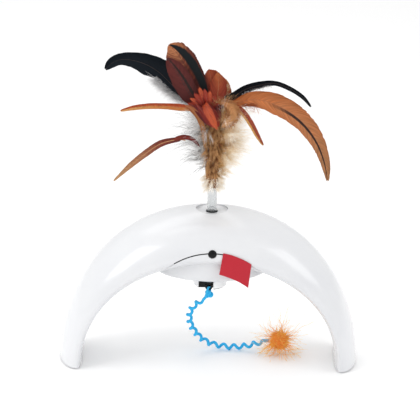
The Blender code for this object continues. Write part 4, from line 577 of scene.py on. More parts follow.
def make_housing(white):
    """The drive housing: the crown's lower front up to the seam, joined to the oval tub. It is
    hollow, with a hole for the shaft, the sensor's hole and a slot for the switch at the back."""
    a, b = HOUSING_ANGLE, math.pi - HOUSING_ANGLE
    turns = circle(96)
    crown = lofted("crown", arch_points(np.linspace(a, b, 80), turns))
    outer = boolean(crown, ("INTERSECT", seam_cylinder(SEAM_RADIUS)), ("UNION", tub(0, TUB_TOP_Z)))
    hollow = lofted("hollow", arch_points(np.linspace(a - 0.04, b + 0.04, 40), turns[::3], inset=SHELL_WALL))
    hollow = boolean(hollow, ("UNION", tub(SHELL_WALL, TUB_TOP_Z + CUT_PAST, 48)))
    mesh = cut(outer, hollow, upright(SHAFT_HOLE_RADIUS, 90 * MM, 110 * MM, 64), sensor_hole(),
               box((-2.4, 6.4), (40, 60), (116.1, 119.9)))
    stand_for(show("housing_skin", mesh, white, SHELL_SMOOTH), "drive_housing", "stand")


def make_leg_covers(white):
    """The inner covers of both legs; the left one has the battery door's opening."""
    for side, node in ((-1, "left_leg_cover"), (1, "right_leg_cover")):
        mesh = skin_panel(node + "_skin", end_angle(LEG_END_Z), COVER_TOP_ANGLE, -COVER_EDGE,
                          -math.pi + COVER_EDGE, 60, 32)
        if side > 0:
            mesh.transform(Matrix.Scale(-1, 4, (1, 0, 0)))
            mesh.flip_normals()
        doors = [door_panel(DOOR_GAP, CUT_PAST)] if side < 0 else []
        mesh = cut(mesh, seam_cylinder(SEAM_RADIUS + SEAM_GAP), tub(-SEAM_GAP, TUB_TOP_Z), *doors)
        stand_for(show(node + "_skin", mesh, white, SHELL_SMOOTH), node, "stand")


def door_panel(grow, overrun):
    """The battery door's patch of the inner skin. It may be wider all round by one length, and
    reach further out and in by another."""
    power = 2 / ARCH_ROUNDNESS
    x = (ARCH_HALF_WIDTH - LEG_THICKNESS) * math.cos(DOOR_ANGLE) ** power
    z = (ARCH_HEIGHT - CROWN_THICKNESS) * math.sin(DOOR_ANGLE) ** power
    spread = (DOOR_HALF_LENGTH + grow) / math.hypot(x, z)
    depth = FOOT_HALF_DEPTH + (CROWN_HALF_DEPTH - FOOT_HALF_DEPTH) * math.sin(DOOR_ANGLE)
    turn = math.acos((DOOR_HALF_WIDTH + grow) / depth)
    return skin_panel("door", DOOR_ANGLE - spread, DOOR_ANGLE + spread, -turn, -math.pi + turn, 24, 32,
                      SHELL_WALL + 2 * overrun, -overrun)


def make_battery_door(white):
    """The door over the battery box, a patch of the left leg's inner cover."""
    door = show("battery_door_skin", door_panel(0, 0), white, SHELL_SMOOTH, turn_out=True)
    stand_for(door, "battery_door", "battery_door")


def make_seam_strips(black):
    """The black strips in the seam: a band whose front face stands a little inside the arch's
    skin, and the front one has the sensor's hole. Their black is painted shade: it stands for
    the shade in the seam's gap."""
    a = np.linspace(-STRIP_HALF_ANGLE, STRIP_HALF_ANGLE, 90)
    inside, thickness = 0.15 * MM, 2.8 * MM
    corners = []
    for radius in (SEAM_RADIUS + FIT_GAP, SEAM_RADIUS + FIT_GAP + STRIP_WIDTH):
        x, z = radius * np.sin(a), SEAM_CENTRE_Z + radius * np.cos(a)
        corners.append((x, z, skin_y(x, z) + inside))
    for side, node in ((1, "seam_strip_front"), (-1, "seam_strip_rear")):
        ring = [np.stack([x, side * y, z], -1) for x, z, y in corners]
        ring += [np.stack([x, side * (y + thickness), z], -1) for x, z, y in corners[::-1]]
        mesh = lofted(node, np.stack(ring, 1))
        if side > 0:
            mesh = cut(mesh, sensor_hole(1.5 * MM))
        # Black here is painted shade: the dark of the seam's gap
        stand_for(show(node + "_skin", mesh, black, turn_out=True), node, "stand")


def make_sensor(black):
    """The motion sensor's lens: a shallow dome in front and a slim stem to the board."""
    bulge, skirt, stem, stem_drop, board_y = 2.0 * MM, 1.2 * MM, 1.6 * MM, 1.9 * MM, -38.3 * MM
    tilt = np.linspace(0.02, 1, 14) * math.pi / 2
    rings = [(SENSOR_RADIUS * math.sin(t), SENSOR_FACE_Y - bulge * math.cos(t), 0) for t in tilt]
    rings += [(SENSOR_RADIUS, SENSOR_FACE_Y + skirt, 0), (stem, SENSOR_FACE_Y + skirt, stem_drop),
              (stem, board_y, stem_drop)]
    a = circle(48)
    mesh = lofted("sensor", [np.stack([r * np.cos(a), np.full(48, y), SEAM_TOP - drop + r * np.sin(a)], -1)
                             for r, y, drop in rings])
    stand_for(show("sensor_lens", mesh, black, turn_out=True), "motion_sensor", "stand")


def turned_piece(name, node, body, profile, mat, sides=96, soften=0.35 * MM, smooth=45, pocket=None):
    """A turned ring with softened corners that stands for a CAD node, less a pocket if it has
    one."""
    mesh = lofted(name, turned_rings(rounded(profile, soften), sides), wrap_rows=True)
    if pocket is not None:
        mesh = cut(mesh, pocket)
    stand_for(show(name, mesh, mat, smooth, turn_out=True), node, body)


def make_crown_fittings(white, black, acrylic):
    """The dish in the crown, the wand's socket whose rim is the black ring, and the clear tube."""
    dish = np.array([
        (8.1, 172.7), (8.1, 177.8), (6.8, 178.2), (6.8, 179.6), (17.2, 180.2), (18.1, 180.8), (18.1, 177.9),
        (20.6, 177.9), (20.6, 175.9), (13.2, 175.9), (13.2, 163.5), (10.6, 163.5), (10.6, 172.7)]) * MM
    cup = np.array([
        (4.15, 158), (4.15, 165.3), (2, 165.3), (2, 168), (5.8, 168), (5.8, 180.5), (6.3, 180.5),
        (6.5, 177), (7.5, 176.3), (7.5, 158)]) * MM
    bore = TUBE_RADIUS - TUBE_WALL
    tube = [(bore, WAND_SEAT_Z), (bore, TUBE_TOP_Z), (TUBE_RADIUS, TUBE_TOP_Z), (TUBE_RADIUS, WAND_SEAT_Z)]
    turned_piece("crown_dish", "top_bezel", "stand", dish, white)
    turned_piece("socket_cup", "wand_socket", "rotor", cup, black)
    turned_piece("acrylic_tube", "wand_tube", "wand", tube, acrylic, 64)


def make_hub(white, black):
    """The hub under the housing: a white disc with a pocket for the hook, and the black plate
    under it. Each is turned between two radii and two levels, in millimetres."""
    for name, node, slot, mat, inner, outer, low, high, soften in (
            ("hub_disc", "cord_hub", "white_gloss", white, 4.15, 19, 91.1, 99.4, 0.9),
            ("hub_under_plate", "hub_plate", "black_gloss", black, 0.3, 17, 89.9, 90.8, 0.2)):
        profile = np.array([(inner, low), (outer, low), (outer, high), (inner, high)]) * MM
        turned_piece(name, node, "rotor", profile, mat, 120, soften * MM, 35,
                     box((-13.4, 3.6), (-30, -10), (80, 110)))


# Cord, knot and pompom

CORD_RADIUS = 1.7 * MM
CURL_RADIUS = 2.4 * MM
CURL_COUNT = 14
CORD_LEAD = 3.2 * MM
CORD_ROUTE = np.array([
    (-4.8, -16.5, 80.6), (-8.6, -15.6, 76.0), (-16.0, -12.5, 70.0), (-21.2, -8.0, 61.5), (-22.6, -2.0, 51.0),
    (-20.2, 5.5, 37.0), (-12.5, 13.0, 22.8), (-3.5, 18.5, 13.2), (7.5, 22.0, 7.4), (22.0, 23.5, 4.7),
    (37.0, 22.5, 5.2), (51.0, 19.5, 9.0), (64.0, 16.4, 14.2), (70.8, 15.5, 15.6)]) * MM
KNOT_RADIUS = 4.6 * MM
KNOT_SIZE = 1.35 * MM
POMPOM_CENTRE = np.array((82.5, 15.0, 16.5)) * MM


def curly_path(per_turn=24):
    """A helix round the route: the radius opens over the first curl and closes over the last."""
    steps = CURL_COUNT * per_turn
    spine = smooth_route(CORD_ROUTE, steps + 1)
    total = np.linalg.norm(np.diff(spine, axis=0), axis=1).sum()
    first = np.array(Vector(spine[1] - spine[0]).orthogonal().normalized())
    _, side, other = frames_along(spine, first)
    k = np.arange(steps + 1)
    from_end = np.minimum(k, steps - k) * total / steps
    radius = CURL_RADIUS * np.clip((from_end - CORD_LEAD) / (0.6 * total / CURL_COUNT), 0, 1)[:, None]
    a = (2 * math.pi * k / per_turn)[:, None]
    return spine + radius * (np.cos(a) * side + np.sin(a) * other)


def make_cord(blue):
    """The curly cord as a round strand along its path, with the path and its length."""
    path = curly_path()
    length = float(np.linalg.norm(np.diff(path, axis=0), axis=1).sum())
    mesh = lofted("cord", tube_rings(path, CORD_RADIUS, 14))
    piece = show("curly_cord_braid", mesh, blue, 0, turn_out=True)
    return stand_for(piece, "curly_cord", "rotor"), path, length


def make_knot(blue):
    """An overhand knot: a trefoil curve, two turns round while it waves three times, and an oval
    loop of the cord that goes through the hook's ring."""
    start = CORD_ROUTE[0]
    centre = start - unit(CORD_ROUTE[1] - start) * (KNOT_RADIUS + FIT_GAP)
    t = circle(120)
    lean, turn = math.radians(40), math.radians(38)
    x, y, z = KNOT_SIZE * np.stack([np.sin(t) + 2 * np.sin(2 * t), 0.9 * -np.sin(3 * t),
                                    np.cos(t) - 2 * np.cos(2 * t)])
    trefoil = np.stack([math.cos(lean) * x + math.sin(lean) * z, y,
                        math.cos(lean) * z - math.sin(lean) * x], -1)
    half_width, half_height, rise = 2.9 * MM, 4.6 * MM, 3.9 * MM
    loop = np.stack([half_width * math.sin(turn) * np.sin(t), half_width * math.cos(turn) * np.sin(t),
                     rise + half_height * np.cos(t)], -1)
    pieces = []
    for name, curve, radius, side in (("knot_in_cord", trefoil, 1.6 * MM, (0.1, 1.0, 0.2)),
                                      ("loop_in_cord", loop, 1.3 * MM, (1.0, 0.0, 0.2))):
        mesh = lofted(name, tube_rings(centre + curve, radius, 12, side), wrap_rows=True)
        pieces.append(stand_for(show(name, mesh, blue, 0, turn_out=True), "cord_knot", "rotor"))
    return pieces


def strands(roots, ways, lengths, bend, width, segments, shades, taper=0.35, curl=0.0):
    """Flat tapering strands: each runs from its root along its way, bends by a vector that
    grows with the square of the distance, and may curl sideways in a sine."""
    n = len(roots)
    s = np.linspace(0, 1, segments + 1)[None, :, None]
    lengths = np.broadcast_to(lengths, (n,))[:, None, None]
    centre = roots[:, None] + lengths * (ways[:, None] * s + bend[:, None] * s ** 2)
    flat = unit(np.cross(ways, DICE.normal(size=(n, 3))))[:, None]
    if np.any(curl):
        third = unit(np.cross(ways, flat[:, 0]))[:, None]
        phase = DICE.uniform(0, 2 * math.pi, (n, 1, 1))
        turns = DICE.uniform(0.6, 1.8, (n, 1, 1)) * 2 * math.pi
        centre = centre + curl * lengths * s * (np.sin(turns * s + phase) - np.sin(phase)) * third
    half = np.broadcast_to(width, (n,))[:, None, None] / 2 * (1 - (1 - taper) * s)
    points = np.stack([centre - flat * half, centre + flat * half], 2).reshape(n * (segments + 1) * 2, 3)
    uv = np.stack([np.broadcast_to(shades[:, None, None], (n, segments + 1, 2)),
                   np.broadcast_to(s, (n, segments + 1, 2))], -1).reshape(-1, 2)
    return points, ribbon_faces(n, segments), uv


def make_pompom(core_mat, yarn):
    """A ball of yarn: a lumpy core, a dense nap of short wavy ends and some long loose ones
    that lie down where they meet the floor. The core's radius waves by a sine times a cosine
    of its two angles, and by a finer sine."""
    core_radius, root_radius = 9.2 * MM, 7.5 * MM
    a, b = np.meshgrid(np.linspace(0, math.pi, 40)[1:-1], circle(72), indexing="ij")
    lumps = 1 + 0.09 * np.sin(9 * a + 2 * b) * np.cos(7 * b - 3 * a) + 0.05 * np.sin(23 * b + 11 * a)
    radius = core_radius * lumps
    ball = POMPOM_CENTRE + np.stack([radius * np.sin(a) * np.cos(b), radius * np.sin(a) * np.sin(b),
                                     radius * np.cos(a)], -1)
    pieces = [show("pompom_core", lofted("core", ball), core_mat, 0, turn_out=True)]
    for name, count, shortest, longest, width, curl in (("pompom_nap", 1300, 2.2, 4.6, 0.6, 0.14),
                                                        ("pompom_fringe", 300, 13.0, 22.0, 0.5, 0.2)):
        ways = unit(DICE.normal(size=(count, 3)))
        lengths = DICE.uniform(shortest, longest, count) * MM
        bend = DICE.normal(0, 0.32, (count, 3))
        points, faces, uv = strands(POMPOM_CENTRE + ways * root_radius, ways, lengths, bend, width * MM, 7,
                                    DICE.uniform(0, 1, count), 0.5, curl)
        points[:, 2] = np.maximum(points[:, 2], (0.4 + 0.8 * DICE.random(len(points))) * MM)
        pieces.append(show(name, mesh_from(name, points, faces, uv), yarn, 0))
    return [stand_for(piece, "pompom", "rotor") for piece in pieces]


# Tag

def make_tag(ribbon):
    """A blank woven ribbon tag that hangs aslant from the seam. It bows to the front by a sine
    across it, and a second sine gives it a slight wave."""
    wide, drop, columns, rows = 34 * MM, 27 * MM, 40, 34
    left_x, slant, slope, tuck = 12.2 * MM, 4.0 * MM, math.radians(-18), 2.7 * MM
    seam_y, stand_off, bow, wave = -57.35 * MM, 1.6 * MM, 1.1 * MM, 0.35 * MM
    u, v = np.meshgrid(np.linspace(0, 1, columns), np.linspace(0, 1, rows), indexing="ij")
    x = left_x + math.cos(slope) * wide * u - slant * v * (1 - 0.25 * u)
    top = SEAM_CENTRE_Z + np.sqrt(SEAM_RADIUS ** 2 - (x + slant * v) ** 2)
    z = top + tuck - drop * v * (0.93 + 0.07 * u)
    y = (seam_y - stand_off * np.sin(v * math.pi / 2) - bow * np.sin(u * math.pi) * v
         + wave * np.sin(u * 7 + v * 3))
    face = np.stack([x, y, z], -1)
    mesh = mesh_from("tag", face, grid_faces(columns, rows, False, False), np.stack([u, v], -1))
    piece = stand_for(show("ribbon_tag", mesh, ribbon, 0), "side_tag", "stand")
    solid = piece.modifiers.new("thickness", "SOLIDIFY")
    solid.thickness = 0.55 * MM
    solid.offset = 0


# Feathers

# Each CAD feather: the angle of its quill round the tube in degrees, its look, its slot, its
# form, and the points of its spine. A point has x, y, z over the feathers' base, and the vane's
# half width, all in thousandths of the plume's reach.
FEATHERS = {
    "feather_black_left": (115, "black", "black_feather", dict(
        loose=0.04, twist=-0.2, wide=1.12, narrow=(1, 0.14, 0.6, 0.62), fluff=((0.15, 0.62, 1, 11, 2200),)), [
        (-131, 70, 363, 18), (-231, 94, 411, 63), (-350, 109, 499, 99), (-498, 117, 640, 112),
        (-617, 109, 714, 92), (-730, 94, 754, 68), (-836, 78, 766, 54), (-916, 62, 735, 46),
        (-978, 47, 676, 24)]),
    "feather_striped_top": (150, "striped", "rust_feather", dict(loose=0.04, twist=0.2, wide=1.25), [
        (-96, 39, 385, 27), (-144, 43, 488, 72), (-210, 55, 617, 94), (-293, 62, 760, 101),
        (-365, 70, 860, 80), (-425, 70, 915, 27)]),
    "feather_maroon_top": (186, "maroon", "red_feather", dict(loose=0.06, wide=1.25), [
        (-120, -19, 391, 27), (-217, -31, 476, 67), (-293, -39, 611, 76), (-369, -43, 736, 58),
        (-434, -47, 832, 18)]),
    "feather_rust_top": (76, "rust_low", "rust_feather", dict(cup=0.35), [
        (-34, 94, 452, 76), (-18, 109, 543, 94), (-28, 113, 618, 76), (-61, 117, 668, 36)]),
    "feather_tan_right": (34, "tan", "tan_feather", dict(
        loose=0.15, cup=0.3, fluff=((0.5, 0.95, -1, 7, 120),)), [
        (38, 62, 436, 54), (68, 70, 501, 58), (66, 74, 566, 27)]),
    "feather_red_front": (238, "dark_red", "red_feather", dict(loose=0.1, cup=0.1, lean=16.0, wide=0.85), [
        (-77, -62, 422, 63), (-106, -70, 473, 85), (-130, -80, 523, 49), (-145, -86, 564, 14)]),
    "feather_red_drop": (262, "tongue", "red_feather", dict(loose=0.1, cup=0.2, lean=16.0, wide=0.45), [
        (-84, -125, 435, 27), (-90, -188, 439, 63), (-59, -242, 392, 85), (-22, -273, 328, 67),
        (16, -297, 255, 20)]),
    "feather_brown_right": (289, "brown", "tan_feather", dict(loose=0.3, cup=0.3, wide=0.9,
        fluff=((0.4, 0.98, -1, 9, 260), (0.4, 0.98, 1, 9, 260))), [
        (51, -141, 448, 36), (131, -188, 428, 63), (155, -211, 365, 72), (115, -227, 303, 58),
        (57, -242, 260, 22)]),
    "feather_black_right": (4, "black", "black_feather", dict(
        loose=0.03, wide=0.86, fluff=((0.44, 0.66, -1, 5, 160),)), [
        (83, 35, 409, 31), (163, 47, 449, 40), (270, 62, 512, 43), (387, 78, 547, 39), (531, 94, 562, 25),
        (677, 109, 502, 23), (788, 125, 421, 20), (862, 133, 329, 9)]),
    "feather_hackle_right": (338, "hackle", "orange_feather", dict(loose=0.07, cup=0.2, twist=0.15, lean=27.0,
        fluff=((0.24, 0.40, -1, 13, 150),)), [
        (91, -47, 391, 27), (188, -66, 419, 38), (304, -86, 466, 67), (429, -102, 464, 85),
        (547, -117, 429, 99), (665, -133, 370, 96), (766, -148, 295, 88), (854, -164, 197, 78),
        (924, -180, 84, 63), (972, -195, -38, 47), (997, -203, -141, 33), (1011, -211, -248, 11)]),
    "feather_small_right": (313, "small", "red_feather", dict(loose=0.06, wide=1.1), [
        (124, -109, 419, 18), (205, -141, 403, 22), (264, -164, 350, 24), (320, -180, 271, 23),
        (381, -195, 162, 18), (432, -203, 80, 8)]),
    "feather_orange_left": (212, "orange", "orange_feather", dict(loose=0.06, wide=1.1), [
        (-117, -78, 365, 13), (-226, -102, 381, 22), (-318, -133, 400, 30), (-445, -156, 416, 25),
        (-590, -180, 422, 24), (-725, -203, 412, 20), (-843, -219, 387, 8)]),
    "feather_thin_left": (None, "thin", "tan_feather", dict(wide=1.1), [
        (-254.7, -85.5, 78, 9), (-330, -95, 85, 20), (-470, -105, 50, 28), (-600, -110, -40, 28),
        (-740, -115, -160, 22), (-885, -120, -305, 6)]),
}

# More vanes that lie against the CAD feathers: the node that they belong to, then the look and
# the spine of each.
EXTRA_VANES = {
    "feather_red_front": {
        "red_fan_1": ("red", [(-71, -78, 351, 13), (-145, -102, 397, 29), (-246, -117, 435, 7)]),
        "red_fan_2": ("tongue", [(-71, -78, 342, 13), (-146, -109, 429, 31), (-224, -117, 483, 7)]),
        "red_fan_3": ("red", [(-71, -86, 345, 13), (-138, -117, 460, 31), (-190, -125, 534, 7)]),
        "red_fan_4": ("tongue", [(-71, -86, 335, 13), (-112, -117, 480, 31), (-146, -125, 588, 7)]),
        "red_fan_5": ("red", [(-62, -94, 338, 13), (-76, -125, 474, 31), (-101, -125, 574, 7)]),
        "red_fan_6": ("tongue", [(-62, -94, 338, 13), (-48, -125, 465, 31), (-55, -125, 556, 7)]),
        "red_fan_7": ("red", [(-62, -86, 345, 13), (-21, -117, 443, 31), (-9, -125, 518, 7)]),
        "red_fan_8": ("red", [(-63, -86, 354, 13), (-11, -117, 415, 27), (51, -125, 462, 7)]),
        "red_band": ("dark_red", [(-81, -86, 364, 13), (17, -109, 398, 23), (124, -109, 428, 7)]),
    },
    "feather_red_drop": {
        "red_low_1": ("dark_red", [(-218, -117, 430, 13), (-146, -148, 366, 38), (-73, -188, 305, 34),
            (-18, -219, 250, 7)]),
        "red_low_2": ("red", [(-174, -133, 437, 13), (-110, -172, 375, 38), (-47, -211, 314, 36),
            (-1, -242, 250, 7)]),
        "red_low_3": ("red", [(-66, -125, 445, 13), (-20, -164, 384, 34), (7, -203, 322, 29),
            (30, -242, 260, 7)]),
        "red_low_4": ("dark_red", [(7, -109, 441, 13), (25, -141, 385, 29), (34, -180, 342, 22),
            (35, -211, 287, 7)]),
    },
    "feather_rust_top": {
        "rust_left": ("rust", [(-50, 47, 336, 41), (-97, 94, 443, 58), (-124, 117, 548, 58),
            (-132, 125, 640, 18)]),
        "rust_middle": ("rust_low", [(-14, 31, 341, 45), (-26, 70, 471, 76), (-37, 94, 586, 76),
            (-58, 94, 687, 27)]),
        "rust_right": ("rust", [(12, 16, 347, 45), (23, 39, 464, 76), (30, 62, 561, 76),
            (19, 70, 663, 27)]),
    },
    "feather_tan_right": {
        "tan_lower": ("tan", [(21, 23, 345, 40), (65, 55, 420, 63), (86, 78, 498, 58), (88, 86, 601, 22)]),
        "tan_edge": ("pale_tan", [(40, 39, 339, 32), (85, 70, 386, 49), (115, 94, 445, 38),
            (122, 102, 538, 13)]),
    },
    "feather_thin_left": {
        "thin_root": ("dark_red", [(-127, -133, 35, 11), (-193, -141, 106, 18), (-274, -141, 125, 22),
            (-364, -141, 101, 18)]),
    },
    "feather_orange_left": {
        "orange_root": ("brown", [(-281, -109, 422, 14), (-200, -133, 379, 23), (-135, -148, 299, 23),
            (-96, -148, 175, 20), (-82, -133, 26, 11)]),
    },
}

# Each look: the vane's material and its colours along it, its stripe and gloss where it has
# them, its shaft, and its down where it is fluffy
VANES = {
    "black": ("black_cock_feather", "0 14181C, 0.5 0A121A, 1 0A141C",
              dict(gloss=0.45, shine=0.12), "dark", "grey"),
    "striped": ("striped_cock_feather", "0 3C1614, 0.55 4E1E1A, 0.78 7A3C2A, 0.92 B87850, 1 B06A44",
                dict(stripe=(0.27, 0.17, 0.2, 0.4), stripe_colour="0A1216", contrast=0.35), "dark", None),
    "maroon": ("maroon_cock_feather", "0 381214, 0.5 4E1A18, 0.9 5C221E, 1 4A1A1A",
               dict(stripe=(0.38, 0.07, 0.2, 0.4), stripe_colour="261512", contrast=0.4), "dark", None),
    "rust": ("rust_body_feather", "0 8A2E1C, 0.45 9A3E24, 0.75 A9542F, 1 B4673C",
             dict(contrast=0.35), "brown", None),
    "rust_low": ("rust_body_feather_low", "0 7A2818, 0.5 8C3420, 0.85 A2482A, 1 8E3A22", dict(contrast=0.35),
                 "brown", None),
    "tan": ("tan_body_feather", "0 8E3A22, 0.4 A6562E, 0.75 BE7C4C, 1 CC9464",
            dict(contrast=0.3), "brown", "tan"),
    "pale_tan": ("pale_tan_feather", "0 A6623A, 0.5 C8935E, 1 DDB98E", dict(contrast=0.25), "pale", None),
    "red": ("red_dyed_feather", "0 6A1A16, 0.4 8A281C, 0.7 A03A26, 1 8E2E20",
            dict(contrast=0.45), "red", None),
    "dark_red": ("dark_red_feather", "0 521616, 0.5 6E1E18, 1 80301F", dict(contrast=0.45), "red", None),
    "tongue": ("orange_red_feather", "0 741F16, 0.45 983420, 0.75 B44E2E, 1 C25A34",
               dict(contrast=0.4), "red", None),
    "brown": ("light_brown_body_feather", "0 8E4C2A, 0.5 AC7040, 1 C29060", {}, "brown", "brown"),
    "hackle": ("orange_hackle", "0 943E20, 0.3 BC6C3A, 0.65 BA764A, 1 A0724C",
               dict(stripe=(0.435, 0.075, 0.42, 0.6), stripe_colour="2E1E18", contrast=0.35), "brown",
               "rust"),
    "small": ("small_red_hackle", "0 8A2E1C, 0.5 A0402A, 1 9A4A30",
              dict(stripe=(0.1, 0.35, 0.1, 0.3), stripe_colour="CC9A54"), "red", None),
    "orange": ("orange_cock_feather", "0 9A5A34, 0.3 C49468, 0.6 B86A30, 1 D09A5C",
               dict(stripe=(0.2, 0.3, 0.35, 0.5), stripe_colour="A8441E", contrast=0.35), "brown", None),
    "thin": ("thin_tan_feather", "0 5A1A18, 0.3 7E3A2C, 0.6 A87250, 1 BE9468",
             dict(contrast=0.35), "pale", None),
}
QUILLS = {
    "dark": "0 2E1C14, 1 14100F",
    "brown": "0 A8643C, 0.5 94502E, 1 7A3E24",
    "red": "0 7A2A1C, 1 6A2418",
    "pale": "0 C08A5C, 0.5 C9A27A, 1 B58A62",
}
DOWNS = {
    "grey": ("0 6E6E70, 0.3 BDBDBE, 1 F4F3F3", 0.3),
    "rust": ("0 7A3018, 0.5 A9552E, 1 C98B62", 0.18),
    "tan": ("0 A87852, 0.5 D3AE88, 1 F0E2D0", 0.18),
    "brown": ("0 8A5230, 0.5 B07846, 1 CFA070", 0.18),
}


def feather_spine(degrees, spine, count):
    """A feather's spine, its half widths and where its vane starts.

    The quill stands beside the tube up to the fur's mouth, then the spine bends out through
    the given points. The half widths are read along the chords between these points, and
    they close as a quarter of an ellipse at the tip.
    """
    rows = np.array(spine) * (PLUME_REACH / 1000)
    points, widths, start = rows[:, :3] + (0, 0, FEATHER_BASE_Z), rows[:, 3], 0.05
    if degrees is not None:
        a = math.radians(degrees)
        foot = np.array((QUILL_CIRCLE * math.cos(a), QUILL_CIRCLE * math.sin(a), FEATHER_BASE_Z))
        points = np.vstack([foot, foot + (0, 0, FUR_TOP_Z - FEATHER_BASE_Z), points])
        widths = np.concatenate([[QUILL_HALF_WIDTH, QUILL_HALF_WIDTH], widths])
    marks = np.concatenate([[0], np.cumsum(np.linalg.norm(np.diff(points, axis=0), axis=1))])
    if degrees is not None:
        start = marks[1] / marks[-1]
    reach = np.linspace(0, marks[-1], count)
    tip = 2.4 * widths[-1] + 2.0 * MM
    closing = np.clip((reach - marks[-1] + tip) / tip, 0, 1)
    half = np.interp(reach, marks, widths) * np.sqrt(1 - closing ** 2)
    return smooth_route(points, count), half, start


def read_along(values, share):
    """Rows of values along a spine, read between its stations at shares of its length."""
    spots = np.linspace(0, 1, len(values))
    return np.stack([np.interp(share, spots, values[:, k]) for k in range(values.shape[1])], -1)


def vane_frames(path):
    """Tangent, side and face of a vane. The side is across the tangent, as near to the plane
    that faces the front as the bend allows, and it turns slowly where the feather points
    to the front."""
    tangent = unit(np.gradient(path, axis=0))
    side = np.zeros_like(path)
    here = np.array((-1.0, 0.0, 0.0))
    for k, ahead in enumerate(tangent):
        goal = np.cross(ahead, (0.0, 1.0, 0.0))
        goal = goal if goal @ here >= 0 else -goal
        here = here * (1 - 0.2 * np.linalg.norm(goal)) + 0.2 * goal
        here = here - ahead * (here @ ahead)
        here /= np.linalg.norm(here)
        side[k] = here
    return tangent, side, np.cross(tangent, side)


def make_feather(name, node, slot, spine, mats, loose=0.08, cup=0.16, lean=35.0, twist=0.0, wide=1.0,
                 narrow=None, fluff=()):
    """One feather: a tapering shaft, and barbs on both sides that follow its bends. One side
    may be narrow for a stretch, given by its hand, its two ends and its share of the width.
    Fluff is down along a stretch: its two ends, its hand, its length in mm and its count.

    A barb runs out to the vane's edge while it moves ahead along the shaft by its reach over
    the tangent of the lean. It curls back towards the edge by the square of the distance,
    lies over the next one like a tile, and is a little longer or shorter than its neighbours.
    Every few millimetres the barbs are shorter, where a sine is near its peak.
    """
    path, half, start = spine
    vane_mat, shaft_mat, down_mat = mats
    length = np.linalg.norm(np.diff(path, axis=0), axis=1).sum()
    tangent, side, face = vane_frames(path)
    turn = (twist * np.linspace(0, 1, len(path)))[:, None]
    side, face = np.cos(turn) * side + np.sin(turn) * face, np.cos(turn) * face - np.sin(turn) * side
    half = half[:, None]
    radius = SHAFT_RADIUS * (1 - 0.8 * np.linspace(0, 1, len(path)))
    shaft = lofted("shaft", tube_rings(path, radius, 8, side[0]))
    pieces = [show(name + "_shaft", shaft, shaft_mat, 0, turn_out=True)]

    count, segments = int(length * (1 - start) / BARB_STEP), 6
    ahead = 1 / math.tan(math.radians(lean)) / length
    s = np.linspace(0, 1, segments + 1)[None, :]
    points, uvs = [], []
    for hand in (-1, 1):
        u = start + (1 - start) * np.linspace(0, 0.985, count) + DICE.normal(0, 0.0005, count)
        reach = read_along(half, u)[:, 0]
        for _ in range(8):
            reach = (reach + wide * read_along(half, np.minimum(u + ahead * reach, 1))[:, 0]) / 2
        if narrow and hand == narrow[0]:
            edge = np.clip(np.minimum(u - narrow[1], narrow[2] - u) / 0.06, 0, 1)
            reach = reach * (1 - (1 - narrow[3]) * edge * edge * (3 - 2 * edge))
        clump = 0.5 + 0.5 * np.sin(u * length / (3.3 * MM) + 2 * hand + 2.5 * np.sin(u * 17 + hand))
        reach = reach * (1 + loose * (DICE.random(count) - 0.6) - 0.5 * loose * clump ** 6)
        along = np.minimum(u[:, None] + ahead * reach[:, None] * (0.66 * s + 0.34 * s ** 2), 1)
        wave = 1 + 0.5 * loose * np.sin(9 * u[:, None] * length / (20 * MM) + 3 * s)
        out = reach[:, None] * (s - 0.22 * s ** 3) / 0.78
        centre = (read_along(path, along) + hand * out[..., None] * read_along(side, along)
                  - (cup * wave * reach[:, None] * s ** 2)[..., None] * read_along(face, along))
        way = unit(np.gradient(centre, axis=1))
        normal = read_along(face, along)
        across = unit(np.cross(normal, way) + 0.22 * hand * normal)
        thin = (BARB_HALF_WIDTH * (1 - 0.35 * s ** 1.5))[..., None]
        points.append(np.stack([centre - across * thin, centre + across * thin], 2).reshape(-1, 3))
        v = np.broadcast_to((0.5 + 0.5 * hand * s)[..., None], (count, segments + 1, 2))
        uvs.append(np.stack([np.broadcast_to(u[:, None, None], v.shape), v], -1).reshape(-1, 2))
    mesh = mesh_from("vane", np.vstack(points), ribbon_faces(2 * count, segments), np.vstack(uvs))
    pieces.append(show(name + "_vane", mesh, vane_mat, 0))

    for k, (low, high, hand, reach, amount) in enumerate(fluff):
        u = DICE.uniform(low, high, amount)
        out = hand * read_along(side, u)
        way = unit(0.6 * read_along(tangent, u) + out + DICE.normal(0, 0.28, (amount, 3)))
        roots = read_along(path, u) + out * read_along(half, u) * DICE.uniform(0.35, 0.85, (amount, 1))
        down = strands(roots, way, reach * MM * DICE.uniform(0.5, 1.1, amount),
                       DICE.normal(0, 0.28, (amount, 3)), 0.32 * MM, 6, DICE.uniform(0, 1, amount), 0.3, 0.12)
        pieces.append(show(f"{name}_down_{k}", mesh_from("down", *down), down_mat, 0))
    for piece in pieces:
        stand_for(piece, node, "wand")


def make_feathers():
    """All feathers and the small vanes that lie over the front of the bunch."""
    quills = {key: fibre(key + "_quill", stops, 0.5) for key, stops in QUILLS.items()}
    downs = {key: fibre(key + "_down", stops, speckle=speckle) for key, (stops, speckle) in DOWNS.items()}
    looks = {look: (vane(name, along, **finish), quills[quill], downs.get(down))
             for look, (name, along, finish, quill, down) in VANES.items()}
    for name, (degrees, look, slot, form, spine) in FEATHERS.items():
        make_feather(name, name, slot, feather_spine(degrees, spine, 160), looks[look], **form)
    for node, vanes in EXTRA_VANES.items():
        for name, (look, spine) in vanes.items():
            red = dict(loose=0.32, lean=12.0, cup=0.12)
            form = red if "red" in name else dict(loose=0.07, lean=27.0, cup=0.25)
            make_feather(name, node, FEATHERS[node][2], feather_spine(None, spine, 90), looks[look], **form)


# Fur wrap

